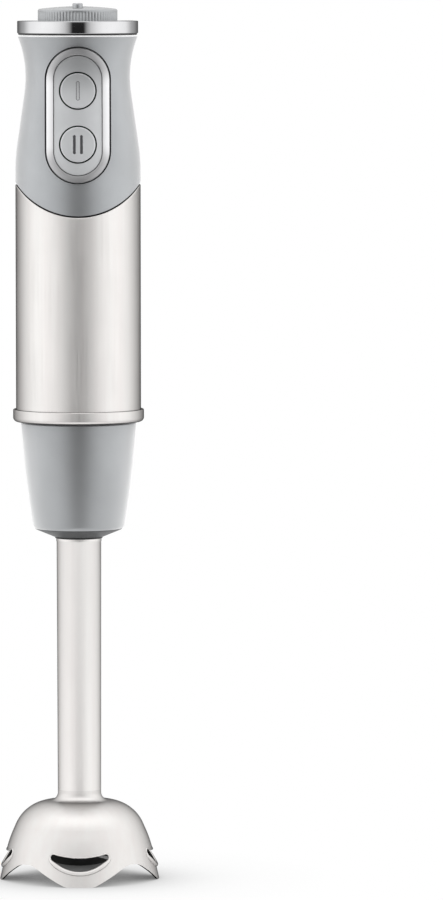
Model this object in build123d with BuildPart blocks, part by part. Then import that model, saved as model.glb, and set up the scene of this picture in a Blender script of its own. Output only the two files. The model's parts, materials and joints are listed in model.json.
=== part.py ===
from build123d import *
import os
from math import asin, atan2, cos, hypot, radians, sin, sqrt, tan

# Immersion blender standing upright on its bell: a handle with the motor and controls, and a foot
# (collar, tube, bell, blade) that locks onto the handle with a part turn along helical grooves.
# Frame: millimetres, +Z up, origin on the floor under the axis, buttons facing -Y.

# Outside heights, stacked from the floor up
bell_height = 41.0
tube_length = 115.8
collar_height = 52.5
collar_gap = 0.3
base_ring_height = 5.7
handle_height = 170.5
top_ring_height = 6.2
dial_gap = 0.4
dial_height = 5.9
dial_dome = 1.1
pointer_rise = 1.4

# Outside diameters
dial_diameter = 36.2
waist_diameter = 47.5
sleeve_diameter = 57.0
collar_top_diameter = 52.4
collar_foot_diameter = 41.2
tube_top_diameter = 20.44
tube_foot_diameter = 19.8
bell_rim_diameter = 72.8

# Walls
grip_wall = 2.5
sleeve_wall = 0.8
top_ring_wall = 1.9
chassis_wall = 2.2
collar_wall = 2.2
core_wall = 1.2
tube_wall = 1.0
bell_wall = 1.2
boss_wall = 2.0

# Clearances
seat_gap = 0.05     # pieces of one body, fitted into each other
run_gap = 0.05      # radial play of a shaft in its bush
move_gap = 0.3      # between pieces that move past each other
seam_gap = 0.3      # shadow line between two shells

# Grip outline: a waist arc, a straight flank and an arc that runs into the barrel
waist_drop = 19.2           # waist below the top of the grip
waist_arc = 50.0
barrel_height = 20.0        # straight barrel above the scoop's lowest point
barrel_arc = 82.0
grip_edge_round = 0.9
scoop_drop = 14.85          # lowest point of the sleeve's scoop below the bezel
scoop_radius = 35.0
base_ring_flare = 1.35      # base ring's radius beyond the sleeve's
base_ring_round = 2.0
top_ring_inset = 0.083      # top ring's radius inside the grip's top edge
top_ring_edge = 0.3

# Button panel on the front of the grip
bezel_width = 29.4
bezel_length = 61.5
bezel_border = 3.7
bezel_drop = 36.2           # middle of the bezel below the top of the grip
bezel_proud = 1.2
bezel_depth = 4.6
panel_proud = 0.7
panel_flange = 1.5
panel_shift = 7.0           # the panel is flatter than the grip: its axis lies this far behind
panel_line_gap = 0.15
post_radius = 2.0
post_edge = 3.2             # posts inside the bezel's side, and past its straight sides
post_rise = 3.95
button_diameter = 16.6
button_spacing = 24.2
button_drop = 1.0           # middle of the two buttons below the middle of the bezel
button_proud = 1.1
button_travel = 2.0
button_collar = 0.9
button_foot = 0.2           # button's body behind its collar
mark_width = 1.1
mark_length = 7.4
mark_depth = 0.3
mark_pitch = 2.8
run_mark_count = 1          # bars on the run button
boost_mark_count = 2        # bars on the boost button

# Switches and speed control
board_thickness = 1.6
board_width = 28.0
board_top_drop = 12.5       # board's top edge below the top of the grip
switch_width = 9.0
switch_height = 11.0
switch_body = 4.0
plunger_radius = 1.2
plunger_rise = 2.6
pot_diameter = 17.0
pot_height = 8.0
pot_thrust = 1.0
pot_drop = 16.0             # underside of the speed control below the top of the grip
spindle_diameter = 6.0
spindle_engagement = 5.0
cap_plate = 3.0
cap_recess = 0.8
cap_cup_wall = 1.5
cap_rim = 4.0
dial_stem_diameter = 11.0
dial_rib_count = 72
dial_rib_depth = 0.45
dial_edge_round = 1.0
pointer_width = 6.4
pointer_length = 27.0
pointer_round = 0.5
vent_count = 10
vent_width = 2.0
vent_length = 6.0

# Cord gland at the back of the grip
gland_drop = 10.5           # gland axis below the top of the grip
gland_bore = 7.2
gland_barrel = 11.0
gland_flange = 14.0
gland_rise = 3.2
gland_inner_length = 4.0

# Chassis under the sleeve
chassis_neck = 12.0         # height of the chassis inside the grip's tongue
web_thickness = 2.0
web_hole = 7.0
ledge_width = 2.0
ledge_height = 1.5
chassis_boss = 3.0
chassis_boss_length = 7.0
chassis_boss_inset = 2.5
chassis_screw_low = 3.6     # screw levels above the chassis' foot and below its top
chassis_screw_high = 7.5
screw_radius = 1.5
screw_head_radius = 2.6
screw_head_height = 1.8
screw_tip_gap = 1.0

# Motor
stator_floor = 31.0         # stator above the underside of the handle
motor_headroom = 6.4        # upper bracket below the chassis' shoulder
air_gap = 0.6
yoke_width = 2.6
pole_shoe = 1.5
armature_diameter = 24.0
armature_slots = 12
armature_slot_radius = 1.3
armature_slot_skin = 0.3
coil_inner_angle = 38.0
coil_outer_angle = 55.0
coil_slot_angle = 1.0
coil_slot_gap = 0.3
coil_end = 5.0
winding_end = 6.0
winding_bore = 6.0
shaft_radius = 4.0
shaft_tail_radius = 3.0
shaft_tail_rise = 2.0
commutator_radius = 9.0
commutator_height = 11.0
commutator_bars = 24
commutator_slit = 0.4
commutator_slit_depth = 0.6
commutator_gap = 2.5
brush_width = 5.0
brush_height = 7.0
brush_length = 12.5
holder_wall = 1.2
holder_start = 1.5          # holder's mouth off the commutator
bracket_thickness = 3.0
bracket_gap = 2.0
bracket_width = 25.0
bracket_floor = 10.0        # lower bracket above the underside of the handle
bearing_radius = 11.0
bearing_height = 7.0
bearing_lip = 1.0
bush_radius = 6.0
bush_height = 7.0
tie_radius = 1.5
tie_x = 9.0
tie_edge = 2.42             # tie screws inside the chassis' bore
tie_gap = 0.7
tie_head_radius = 2.2
tie_head_height = 1.6
damper_height = 6.0
damper_width = 1.85
fan_radius = 20.0
fan_height = 8.0
fan_plate = 1.4
fan_hub = 7.0
fan_blades = 12
fan_blade_thickness = 1.0
fan_blade_inset = 0.6
fan_blade_root = 1.0
fan_floor = 16.0            # fan plate above the underside of the handle

# Lock between handle and foot
socket_depth = 23.0
socket_floor = 3.0
nose_relief = 3.0           # gap between the nose's tip and the socket floor
nose_wall = 3.0
nose_flange = 3.0
nose_screw_edge = 2.85      # nose screws inside the chassis' bore
nose_screw_count = 4
nose_screw_length = 9.0
nose_shaft_gap = 1.0
lock_count = 3
lock_turn = 60.0            # degrees from locked to free
lock_drop = 12.0            # how far the foot moves down on the way
lock_pin_radius = 1.5
lock_groove_depth = 1.8
lock_side_gap = 0.35
lock_overrun = 8.0          # degrees of groove past the pin at each end
gasket_height = 0.9
gasket_width = 2.2
core_flange = 1.6

# Drive through the foot
dog_arms = 6
dog_core = 4.4
dog_arm_ring = 4.6
dog_arm_radius = 1.6
dog_length = 8.0            # depth of the drive's engagement
dog_outer_radius = 9.0
dog_height = 14.0
dog_gap = 0.35
dog_drop = 2.6              # top of the handle's dog below the underside of the handle
dog_base_radius = 7.5
dog_base_gap = 0.5
dog_base = 2.4
dog_floor = 0.6
foot_shaft_radius = 3.0
foot_bush_radius = 6.5
foot_bush_height = 9.0
tube_grip = 18.0            # length of tube held inside the collar
tube_boss_wall = 2.4
carrier_above = 14.0        # bearing carrier above and below the weld
carrier_below = 14.0
carrier_lip = 2.0
carrier_bush_radius = 5.2
carrier_bush_height = 14.0
seal_height = 3.0

# Collar and bell outlines
collar_cone_height = 4.0
collar_corner = 3.0
collar_bulge = 0.66
collar_floor = 6.0
bell_neck_drop = 4.6
bell_neck_fillet = 3.6
bell_shoulder_inset = 11.3  # shoulder and wall inside the rim's radius
bell_shoulder_drop = 6.7
bell_shoulder_fillet = 18.0
bell_wall_inset = 3.9
bell_wall_drop = 23.6
bell_wall_fillet = 50.0
bell_feet = 4
slot_half_width = 13.5
slot_top = 13.4
slot_top_rise = 2.05
slot_end_height = 3.6
slot_bottom = 6.2
slot_corner = 1.7
arch_height = 9.1
arch_half_width = 20.8
arch_flat_half = 3.8
arch_top_round = 12.0
arch_foot_round = 5.0
floor_relief = 0.02

# Blade
blade_level = 12.6
blade_thickness = 1.5
blade_hub_radius = 6.5
blade_root = 6.0
blade_reach = 24.5
blade_root_width = 9.0
blade_tip_width = 5.0
blade_up_angle = 24.0
blade_down_angle = 10.0
spacer_radius = 4.8
nut_radius = 4.5
nut_height = 3.5

# Levels along the axis, worked out from the heights
z_collar = bell_height + tube_length
z_collar_top = z_collar + collar_height
z_base = z_collar_top + collar_gap
z_sleeve = z_base + base_ring_height
z_grip = z_sleeve + handle_height
z_ring = z_grip + top_ring_height
z_waist = z_grip - waist_drop
z_bezel = z_grip - bezel_drop
z_scoop = z_bezel - bezel_length / 2 - scoop_drop
z_scoop_centre = z_scoop + scoop_radius
z_barrel = z_scoop + barrel_height
z_chassis = z_base + nose_flange
z_neck = z_scoop - seam_gap
z_chassis_top = z_neck + chassis_neck
z_stator = z_base + stator_floor
z_bracket_top = z_neck - chassis_wall - motor_headroom
z_bracket_high = z_bracket_top - bracket_thickness
z_commutator_top = z_bracket_high - bracket_gap
z_commutator = z_commutator_top - commutator_height
z_stator_top = z_commutator - commutator_gap - winding_end
stator_height = z_stator_top - z_stator
z_socket = z_collar_top - socket_depth
z_nose = z_socket + nose_relief
z_pin = z_nose + lock_drop - lock_pin_radius - move_gap

# Radii, worked out from the diameters, walls and clearances
sleeve_r = sleeve_diameter / 2
waist_r = waist_diameter / 2
base_ring_r = sleeve_r + base_ring_flare
collar_top_r = collar_top_diameter / 2
collar_foot_r = collar_foot_diameter / 2
tube_top_r = tube_top_diameter / 2
tube_foot_r = tube_foot_diameter / 2
bell_rim_r = bell_rim_diameter / 2
dial_r = dial_diameter / 2
button_r = button_diameter / 2
armature_r = armature_diameter / 2
chassis_r = sleeve_r - sleeve_wall - seat_gap
chassis_bore = chassis_r - chassis_wall
neck_r = sleeve_r - grip_wall - seat_gap
neck_bore = neck_r - chassis_wall
base_bore = chassis_r + seat_gap
stator_r = chassis_bore - damper_width - 2 * seat_gap
stator_bore = armature_r + air_gap
coil_inner_radius = stator_bore + pole_shoe
coil_outer_radius = stator_r - yoke_width
tie_y = sqrt((chassis_bore - tie_edge) ** 2 - tie_x**2)
stator_flat = 2 * (tie_y - tie_radius - tie_gap)
nose_screw_ring = chassis_bore - nose_screw_edge
bell_shoulder_radius = bell_rim_r - bell_shoulder_inset
bell_wall_radius = bell_rim_r - bell_wall_inset

# The barrel's arc, no larger than the flank between barrel and waist leaves room for
flank_rise = z_waist - z_barrel
flank_reach = sleeve_r - waist_r
arc_room = (flank_rise**2 + flank_reach**2) / (2 * flank_reach) - waist_arc
barrel_blend = min(barrel_arc, arc_room - seat_gap)

UPRIGHT = (Align.CENTER, Align.CENTER, Align.MIN)

os.makedirs("parts", exist_ok=True)


def finish(builder, name):
    """Name a finished piece and write it."""
    builder.part.label = name
    export_step(builder.part, f"parts/{name}.step")


def disc(bottom, top, radius, mode=Mode.ADD, at=(0, 0)):
    """An upright cylinder of the part being built."""
    with Locations((at[0], at[1], bottom)):
        Cylinder(radius, top - bottom, align=UPRIGHT, mode=mode)


def rod_to_back(x, z, start, length, radius, mode=Mode.ADD):
    """A cylinder that runs towards the back, from y = start, of the part being built."""
    with Locations(Location((x, start, z), (-90, 0, 0))):
        Cylinder(radius, length, align=UPRIGHT, mode=mode)


def side_plane(angle):
    """Upright plane through the axis; its normal is the front direction turned by an angle."""
    turn = radians(angle)
    return Plane((0, 0, 0), x_dir=(cos(turn), sin(turn), 0), z_dir=(sin(turn), -cos(turn), 0))


def ring_sector(inner, outer, bottom, top, half_angle):
    """Part of a ring that spans half_angle to both sides of the X axis."""
    with BuildPart() as sector:
        with BuildSketch(side_plane(-half_angle)):
            with Locations((inner, bottom)):
                Rectangle(outer - inner, top - bottom, align=(Align.MIN, Align.MIN))
        revolve(axis=Axis.Z, revolution_arc=2 * half_angle)
    return sector.part


def flank_angle():
    """Lean of the straight flank that is tangent to the waist arc and the barrel arc."""
    arcs = waist_arc + barrel_blend
    reach = arcs - flank_reach
    return asin(arcs / hypot(flank_rise, reach)) - atan2(reach, flank_rise)


def grip_radius(z):
    """Outside radius of the grip at a level."""
    lean = flank_angle()
    z_flank_top = z_waist - waist_arc * sin(lean)
    z_flank_foot = z_barrel + barrel_blend * sin(lean)
    if z >= z_flank_top:
        return waist_r + waist_arc - sqrt(waist_arc**2 - (z - z_waist) ** 2)
    if z >= z_flank_foot:
        share = (z_flank_top - z) / (z_flank_top - z_flank_foot)
        return grip_radius(z_flank_top) * (1 - share) + share * (sleeve_r - barrel_blend * (1 - cos(lean)))
    if z >= z_barrel:
        return sleeve_r - barrel_blend + sqrt(barrel_blend**2 - (z - z_barrel) ** 2)
    return sleeve_r


def grip_block(lift, shift=0.0):
    """Solid inside the grip's outline, grown by lift, about an axis that lies shift behind."""
    lean = flank_angle()
    waist_centre = waist_r + waist_arc + shift
    arc = waist_arc - lift
    top = (waist_centre - arc * cos(asin((z_grip - z_waist) / arc)), z_grip)
    waist = (waist_centre - arc, z_waist)
    flank_top = (waist_centre - arc * cos(lean), z_waist - arc * sin(lean))
    barrel_centre = sleeve_r - barrel_blend + shift
    arc = barrel_blend + lift
    flank_foot = (barrel_centre + arc * cos(lean), z_barrel + arc * sin(lean))
    middle = (barrel_centre + arc * cos(lean / 2), z_barrel + arc * sin(lean / 2))
    barrel = (barrel_centre + arc, z_barrel)
    z_foot = z_scoop - seam_gap
    with BuildPart() as block:
        with BuildSketch(Plane.XZ.offset(-shift)):
            with BuildLine():
                ThreePointArc(top, waist, flank_top)
                Line(flank_top, flank_foot)
                ThreePointArc(flank_foot, middle, barrel)
                Polyline(barrel, (barrel[0], z_foot), (0, z_foot), (0, z_grip), top)
            make_face()
        revolve(axis=Axis((0, shift, 0), (0, 0, 1)))
    return block.part


def crown(lift):
    """Solid behind the button panel's surface, which is flatter than the grip."""
    return grip_block(lift, panel_shift)


def stadium(border):
    """Upright stadium, the bezel's outline moved inwards by border, as a sketch facing the front."""
    with BuildSketch(Plane.XZ) as outline:
        with Locations((0, z_bezel)):
            SlotOverall(bezel_length - 2 * border, bezel_width - 2 * border, rotation=90)
    return outline.sketch


def collar_radius(z):
    """Outside radius of the collar's flank at a level, on its straight chord."""
    share = (z - z_collar - collar_cone_height) / (collar_height - collar_cone_height)
    return collar_foot_r + (collar_top_r - collar_foot_r) * share


def bell_corner(radius, level, lean_above, lean_below, inset):
    """Corner between two leaning walls of the bell, both moved inwards by inset."""
    reach = inset / cos((lean_above - lean_below) / 2)
    middle = (lean_above + lean_below) / 2
    return (radius - reach * cos(middle), level - reach * sin(middle))


def bell_block(inset, spare):
    """Bell's outline moved inwards by inset and run on past both ends by spare, as a sketch."""
    roof_lean = atan2(bell_shoulder_radius - tube_foot_r, bell_shoulder_drop - bell_neck_drop)
    wall_lean = atan2(bell_wall_radius - bell_shoulder_radius, bell_wall_drop - bell_shoulder_drop)
    skirt_lean = atan2(bell_rim_r - bell_wall_radius, bell_height - bell_wall_drop)
    neck = bell_corner(tube_foot_r, bell_height - bell_neck_drop, 0, roof_lean, inset)
    shoulder = bell_corner(bell_shoulder_radius, bell_height - bell_shoulder_drop, roof_lean, wall_lean, inset)
    wall = bell_corner(bell_wall_radius, bell_height - bell_wall_drop, wall_lean, skirt_lean, inset)
    blend = (bell_wall_fillet - inset) * tan(abs(wall_lean - skirt_lean) / 2)
    blend_top = (wall[0] - blend * sin(wall_lean), wall[1] + blend * cos(wall_lean))
    blend_foot = (wall[0] + blend * sin(skirt_lean), wall[1] - blend * cos(skirt_lean))
    above = bell_height + spare
    below = wall[1] - bell_height - spare
    foot = (wall[0] + (wall[1] - below) * tan(skirt_lean), below)
    with BuildSketch(Plane.XZ) as outline:
        with BuildLine():
            FilletPolyline(
                (neck[0], above),
                neck,
                shoulder,
                blend_top,
                radius=(bell_neck_fillet + inset, bell_shoulder_fillet - inset),
            )
            Bezier(blend_top, wall, blend_foot)
            Polyline(blend_foot, foot, (-spare, below), (-spare, above), (neck[0], above))
        make_face()
    return outline.sketch


def star(level, growth):
    """Star of rounded arms round a core, the outline of the drive dog, at a level."""
    with BuildSketch(Plane.XY.offset(level)) as outline:
        Circle(dog_core + growth)
        with PolarLocations(dog_arm_ring, dog_arms):
            Circle(dog_arm_radius + growth)
    return outline.sketch


core_r = collar_radius(z_socket - socket_floor) - collar_wall - seat_gap
socket_r = core_r - core_wall
nose_r = socket_r - move_gap

top_ring_r = grip_radius(z_grip) - top_ring_inset
top_ring_bore = top_ring_r - top_ring_wall

# Grip: waisted barrel with a front window for the button panel and a hole for the cord gland
z_gland = z_grip - gland_drop
with BuildPart() as grip:
    add(grip_block(0))
    fillet(grip.edges().filter_by(GeomType.CIRCLE).group_by(Axis.Z)[-1], grip_edge_round)
    add(grip_block(-grip_wall), mode=Mode.SUBTRACT)
    with BuildSketch(Plane.XZ):
        with Locations((0, z_scoop_centre)):
            Rectangle(4 * sleeve_r, 2 * scoop_radius, align=(Align.CENTER, Align.MAX))
            Circle(scoop_radius - seam_gap / 2, mode=Mode.SUBTRACT)
    extrude(amount=2 * sleeve_r, both=True, mode=Mode.SUBTRACT)
    extrude(stadium(-seam_gap), amount=2 * sleeve_r, mode=Mode.SUBTRACT)
    rod_to_back(0, z_gland, 0, 2 * sleeve_r, gland_barrel / 2 + seat_gap, Mode.SUBTRACT)
finish(grip, "grip_housing")

# Steel sleeve with its scooped top edge
with BuildPart() as sleeve:
    disc(z_sleeve, z_scoop_centre, sleeve_r)
    disc(z_sleeve, z_scoop_centre, sleeve_r - sleeve_wall, Mode.SUBTRACT)
    with BuildSketch(Plane.XZ):
        with Locations((0, z_scoop_centre)):
            Circle(scoop_radius + seam_gap / 2)
    extrude(amount=2 * sleeve_r, both=True, mode=Mode.SUBTRACT)
finish(sleeve, "steel_sleeve")

# Flared base ring under the sleeve, its lower edge rounded
with BuildPart() as base_ring:
    disc(z_base, z_sleeve, base_ring_r)
    fillet(base_ring.edges().group_by(Axis.Z)[0], base_ring_round)
    disc(z_base, z_sleeve, base_bore, Mode.SUBTRACT)
finish(base_ring, "base_ring")

# Polished ring round the top of the handle
with BuildPart() as top_ring:
    disc(z_grip, z_ring, top_ring_r)
    disc(z_grip, z_ring, top_ring_bore, Mode.SUBTRACT)
    chamfer(top_ring.edges().group_by(Axis.Z)[-1].sort_by(SortBy.RADIUS)[-1], top_ring_edge)
finish(top_ring, "top_ring")

# Top cap: closes the handle, carries the speed control in a cup, and lets cooling air in
z_cap_top = z_ring - cap_recess
z_cap_plate = z_cap_top - cap_plate
z_pot = z_grip - pot_drop
pot_r = pot_diameter / 2
cup_r = pot_r + seat_gap + cap_cup_wall
stem_r = dial_stem_diameter / 2
spindle_r = spindle_diameter / 2
cap_r = top_ring_bore - seat_gap
with BuildPart() as top_cap:
    disc(z_grip, z_cap_top, cap_r)
    disc(z_grip, z_cap_plate, cap_r - cap_rim, Mode.SUBTRACT)
    disc(z_pot, z_cap_plate, cup_r)
    disc(z_pot, z_cap_plate, pot_r + seat_gap, Mode.SUBTRACT)
    disc(z_cap_plate, z_cap_top, stem_r + move_gap, Mode.SUBTRACT)
    with BuildSketch(Plane.XY.offset(z_cap_top)):
        with PolarLocations(cap_r - cap_rim - vent_width / 2, vent_count):
            SlotOverall(vent_length, vent_width, rotation=90)
    extrude(amount=-cap_plate, mode=Mode.SUBTRACT)
finish(top_cap, "top_cap")

# Speed dial: ribbed rim, domed top, raised pointer and a stem that grips the control's spindle
z_dial = z_cap_top + dial_gap
z_dial_edge = z_dial + dial_height
z_dial_top = z_dial_edge + dial_dome
z_pointer = z_dial_top + pointer_rise
z_spindle_top = z_dial
z_stem = z_spindle_top - spindle_engagement
dome_sphere = (dial_r**2 + dial_dome**2) / (2 * dial_dome)
dome_half = asin(dial_r / dome_sphere) / 2
dome_middle = (dome_sphere * sin(dome_half), z_dial_top - dome_sphere * (1 - cos(dome_half)))
with BuildPart() as dial:
    with BuildSketch(Plane.XZ) as dial_face:
        with BuildLine():
            Polyline((0, z_dial_top), (0, z_dial), (dial_r, z_dial), (dial_r, z_dial_edge))
            ThreePointArc((dial_r, z_dial_edge), dome_middle, (0, z_dial_top))
        make_face()
        fillet(dial_face.vertices().sort_by_distance((dial_r, z_dial_edge))[0], dial_edge_round)
    revolve(axis=Axis.Z)
    with BuildSketch(Plane.XY.offset(z_dial)):
        with PolarLocations(dial_r, dial_rib_count):
            Circle(dial_rib_depth)
    extrude(amount=dial_height - dial_edge_round, mode=Mode.SUBTRACT)
    with BuildSketch(Plane.XY.offset(z_dial_edge)):
        SlotOverall(pointer_length, pointer_width, rotation=90)
    extrude(amount=z_pointer - z_dial_edge)
    fillet(dial.faces().sort_by(Axis.Z)[-1].edges(), pointer_round)
    disc(z_stem, z_dial, stem_r)
    disc(z_stem, z_spindle_top, spindle_r + seat_gap, Mode.SUBTRACT)
finish(dial, "speed_dial")

# Speed control under the cap, and its spindle, which turns with the dial
with BuildPart() as pot:
    disc(z_pot, z_pot + pot_height, pot_r)
    disc(z_pot + pot_thrust, z_pot + pot_height, spindle_r + run_gap, Mode.SUBTRACT)
finish(pot, "speed_control")

with BuildPart() as spindle:
    disc(z_pot + pot_thrust + run_gap, z_spindle_top - seat_gap, spindle_r)
finish(spindle, "control_spindle")

# Button bezel: an upright stadium ring on the flatter crown
bezel_seat = bezel_depth - bezel_proud
with BuildPart() as bezel:
    extrude(stadium(0), amount=2 * sleeve_r)
    extrude(stadium(bezel_border), amount=2 * sleeve_r, mode=Mode.SUBTRACT)
    add(crown(bezel_proud), mode=Mode.INTERSECT)
    add(crown(-bezel_seat), mode=Mode.SUBTRACT)
finish(bezel, "button_bezel")

# Button panel: a plate inside the bezel, a flange behind the bezel and four posts on the board
z_buttons = z_bezel - button_drop
button_levels = {"run": z_buttons + button_spacing / 2, "boost": z_buttons - button_spacing / 2}
flange_back = bezel_seat + seat_gap + panel_flange
collar_r = button_r + move_gap + button_collar
panel_backs = {}
for name, level in button_levels.items():
    nearest = min(max(z_waist, level - collar_r), level + collar_r)
    crown_r = grip_radius(nearest) + panel_shift - flange_back
    panel_backs[name] = sqrt(crown_r**2 - collar_r**2) - panel_shift
plunger_tip = min(panel_backs.values()) - move_gap - button_collar - button_foot
switch_front = plunger_tip - plunger_rise
board_depth = switch_front - switch_body    # board's front face, in front of the axis
post_spread_x = bezel_width / 2 - post_edge
post_spread_z = (bezel_length - bezel_width) / 2 + post_rise
with BuildPart() as flange:
    extrude(stadium(0), amount=2 * sleeve_r)
    add(crown(-bezel_seat - seat_gap), mode=Mode.INTERSECT)

with BuildPart() as posts:
    with BuildSketch(Plane.XZ.offset(board_depth)):
        with Locations((0, z_bezel)):
            with GridLocations(2 * post_spread_x, 2 * post_spread_z, 2, 2):
                Circle(post_radius)
    extrude(amount=2 * sleeve_r)
    add(crown(-flange_back + panel_flange / 2), mode=Mode.INTERSECT)

with BuildPart() as panel:
    extrude(stadium(bezel_border + panel_line_gap), amount=2 * sleeve_r)
    add(crown(panel_proud), mode=Mode.INTERSECT)
    add(flange.part)
    add(crown(-flange_back), mode=Mode.SUBTRACT)
    with BuildSketch(Plane.XZ):
        with Locations(*((0, level) for level in button_levels.values())):
            Circle(button_r + move_gap)
    extrude(amount=2 * sleeve_r, mode=Mode.SUBTRACT)
    add(posts.part)
finish(panel, "button_panel")

# Board behind the panel, standing on the chassis web and notched round the speed control's cup
with BuildPart() as board:
    with BuildSketch(Plane.XZ.offset(board_depth)):
        with Locations((0, z_chassis_top)):
            Rectangle(board_width, z_grip - board_top_drop - z_chassis_top, align=(Align.CENTER, Align.MIN))
    extrude(amount=-board_thickness)
    disc(z_pot - move_gap, z_grip, cup_r + move_gap, Mode.SUBTRACT)
finish(board, "switch_board")

# Two push switches, their plungers and the two buttons, each held in by a collar behind the panel
mark_counts = {"run": run_mark_count, "boost": boost_mark_count}
for name, level in button_levels.items():
    with BuildPart() as switch:
        with BuildSketch(Plane.XZ.offset(board_depth)):
            with Locations((0, level)):
                Rectangle(switch_width, switch_height)
        extrude(amount=switch_body)
        rod_to_back(0, level, -switch_front, switch_body, plunger_radius + run_gap, Mode.SUBTRACT)
    finish(switch, f"{name}_switch")

    with BuildPart() as plunger:
        stroke = plunger_rise + switch_body - button_travel - move_gap
        rod_to_back(0, level, -plunger_tip, stroke, plunger_radius)
    finish(plunger, f"{name}_plunger")

    with BuildPart() as engraving:
        with BuildSketch(Plane.XZ.offset(plunger_tip)):
            with Locations((0, level)):
                with GridLocations(mark_pitch, 0, mark_counts[name], 1):
                    SlotOverall(mark_length, mark_width, rotation=90)
        extrude(amount=2 * sleeve_r)
        add(crown(button_proud - mark_depth), mode=Mode.SUBTRACT)

    with BuildPart() as button:
        with BuildSketch(Plane.XZ.offset(plunger_tip)):
            with Locations((0, level)):
                Circle(button_r)
        extrude(amount=2 * sleeve_r)
        add(crown(button_proud), mode=Mode.INTERSECT)
        rod_to_back(0, level, move_gap - panel_backs[name], button_collar, collar_r)
        add(engraving.part, mode=Mode.SUBTRACT)
    finish(button, f"{name}_button")

# Cord gland: a rubber grommet through the back wall of the grip, its flange shaped to the grip
gland_face = grip_radius(z_gland) + gland_rise
gland_start = grip_radius(z_gland) - grip_wall - gland_inner_length
with BuildPart() as gland:
    rod_to_back(0, z_gland, 0, gland_face, gland_flange / 2)
    add(grip_block(seat_gap), mode=Mode.SUBTRACT)
    rod_to_back(0, z_gland, gland_start, gland_face - gland_start, gland_barrel / 2)
    rod_to_back(0, z_gland, 0, gland_face, gland_bore / 2, Mode.SUBTRACT)
finish(gland, "cord_gland")

# Chassis: a tube under the sleeve, in a front and a rear half, closed by a web at the top.
# Bosses along Y take the screws that join the halves, upright bosses those of the nose.
z_web = z_chassis_top - web_thickness
z_bracket_low = z_base + bracket_floor
chassis_screws_at = [
    (chassis_bore - chassis_boss_inset, z_chassis + chassis_screw_low),
    (neck_bore - chassis_boss_inset, z_chassis_top - chassis_screw_high),
]
nose_screws_at = [
    (nose_screw_ring * cos(radians(angle)), nose_screw_ring * sin(radians(angle)))
    for angle in (360 / nose_screw_count * (turn + 0.5) for turn in range(nose_screw_count))
]
chassis_halves = {"front": Keep.BOTTOM, "rear": Keep.TOP}
with BuildPart() as chassis:
    disc(z_chassis, z_neck, chassis_r)
    disc(z_neck, z_chassis_top, neck_r)
    disc(z_chassis, z_neck - chassis_wall, chassis_bore, Mode.SUBTRACT)
    disc(z_neck - chassis_wall, z_web, neck_bore, Mode.SUBTRACT)
    disc(z_web, z_chassis_top, web_hole, Mode.SUBTRACT)
    disc(z_bracket_low - ledge_height, z_bracket_low, chassis_bore + seat_gap)
    disc(z_bracket_low - ledge_height, z_bracket_low, chassis_bore - ledge_width, Mode.SUBTRACT)
    for at in nose_screws_at:
        disc(z_chassis, z_bracket_low, chassis_boss, at=at)
        disc(z_chassis, z_base + nose_screw_length + screw_tip_gap, screw_radius + seat_gap, Mode.SUBTRACT, at)
    for x, level in chassis_screws_at:
        for side in (-x, x):
            reach = chassis_boss_length
            rod_to_back(side, level, -reach, 2 * reach, chassis_boss)
            rod_to_back(side, level, screw_tip_gap - reach, 2 * reach, screw_radius + seat_gap, Mode.SUBTRACT)
            rod_to_back(side, level, reach, sleeve_r, screw_head_radius + move_gap, Mode.SUBTRACT)

for half, side in chassis_halves.items():
    with BuildPart() as chassis_half:
        add(chassis.part)
        split(bisect_by=Plane.ZX, keep=side)
    finish(chassis_half, f"chassis_{half}")

with BuildPart() as chassis_screws:
    for x, level in chassis_screws_at:
        for side in (-x, x):
            reach = chassis_boss_length
            rod_to_back(side, level, 2 * screw_tip_gap - reach, 2 * (reach - screw_tip_gap), screw_radius)
            rod_to_back(side, level, reach, screw_head_height, screw_head_radius)
finish(chassis_screws, "chassis_screws")

# Stator: a laminated ring with two flats and slots for two field coils
slot_inner = coil_inner_radius - coil_slot_gap
slot_outer = coil_outer_radius + coil_slot_gap
with BuildPart() as coil_slots:
    for turn in (0, 180):
        window = ring_sector(slot_inner, slot_outer, z_stator, z_stator_top, coil_outer_angle + coil_slot_angle)
        pole = ring_sector(0, slot_outer, z_stator, z_stator_top, coil_inner_angle - coil_slot_angle)
        with Locations(Location((0, 0, 0), (0, 0, turn))):
            add(window)
            add(pole, mode=Mode.SUBTRACT)

with BuildPart() as stator:
    disc(z_stator, z_stator_top, stator_r)
    with Locations((0, 0, z_stator)):
        Box(2 * stator_r, stator_flat, stator_height, align=UPRIGHT, mode=Mode.INTERSECT)
    disc(z_stator, z_stator_top, stator_bore, Mode.SUBTRACT)
    add(coil_slots.part, mode=Mode.SUBTRACT)
finish(stator, "stator_core")

# Field coils: each loops through two slots and across both ends of its pole
z_coil = z_stator - coil_end
z_coil_top = z_stator_top + coil_end
with BuildPart() as field_coils:
    for turn in (0, 180):
        loop = ring_sector(coil_inner_radius, coil_outer_radius, z_coil, z_coil_top, coil_outer_angle)
        eye_bottom = z_stator - coil_slot_gap
        eye_top = z_stator_top + coil_slot_gap
        eye = ring_sector(0, coil_outer_radius + coil_end, eye_bottom, eye_top, coil_inner_angle)
        with Locations(Location((0, 0, 0), (0, 0, turn))):
            add(loop)
            add(eye, mode=Mode.SUBTRACT)
finish(field_coils, "field_coils")

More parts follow.
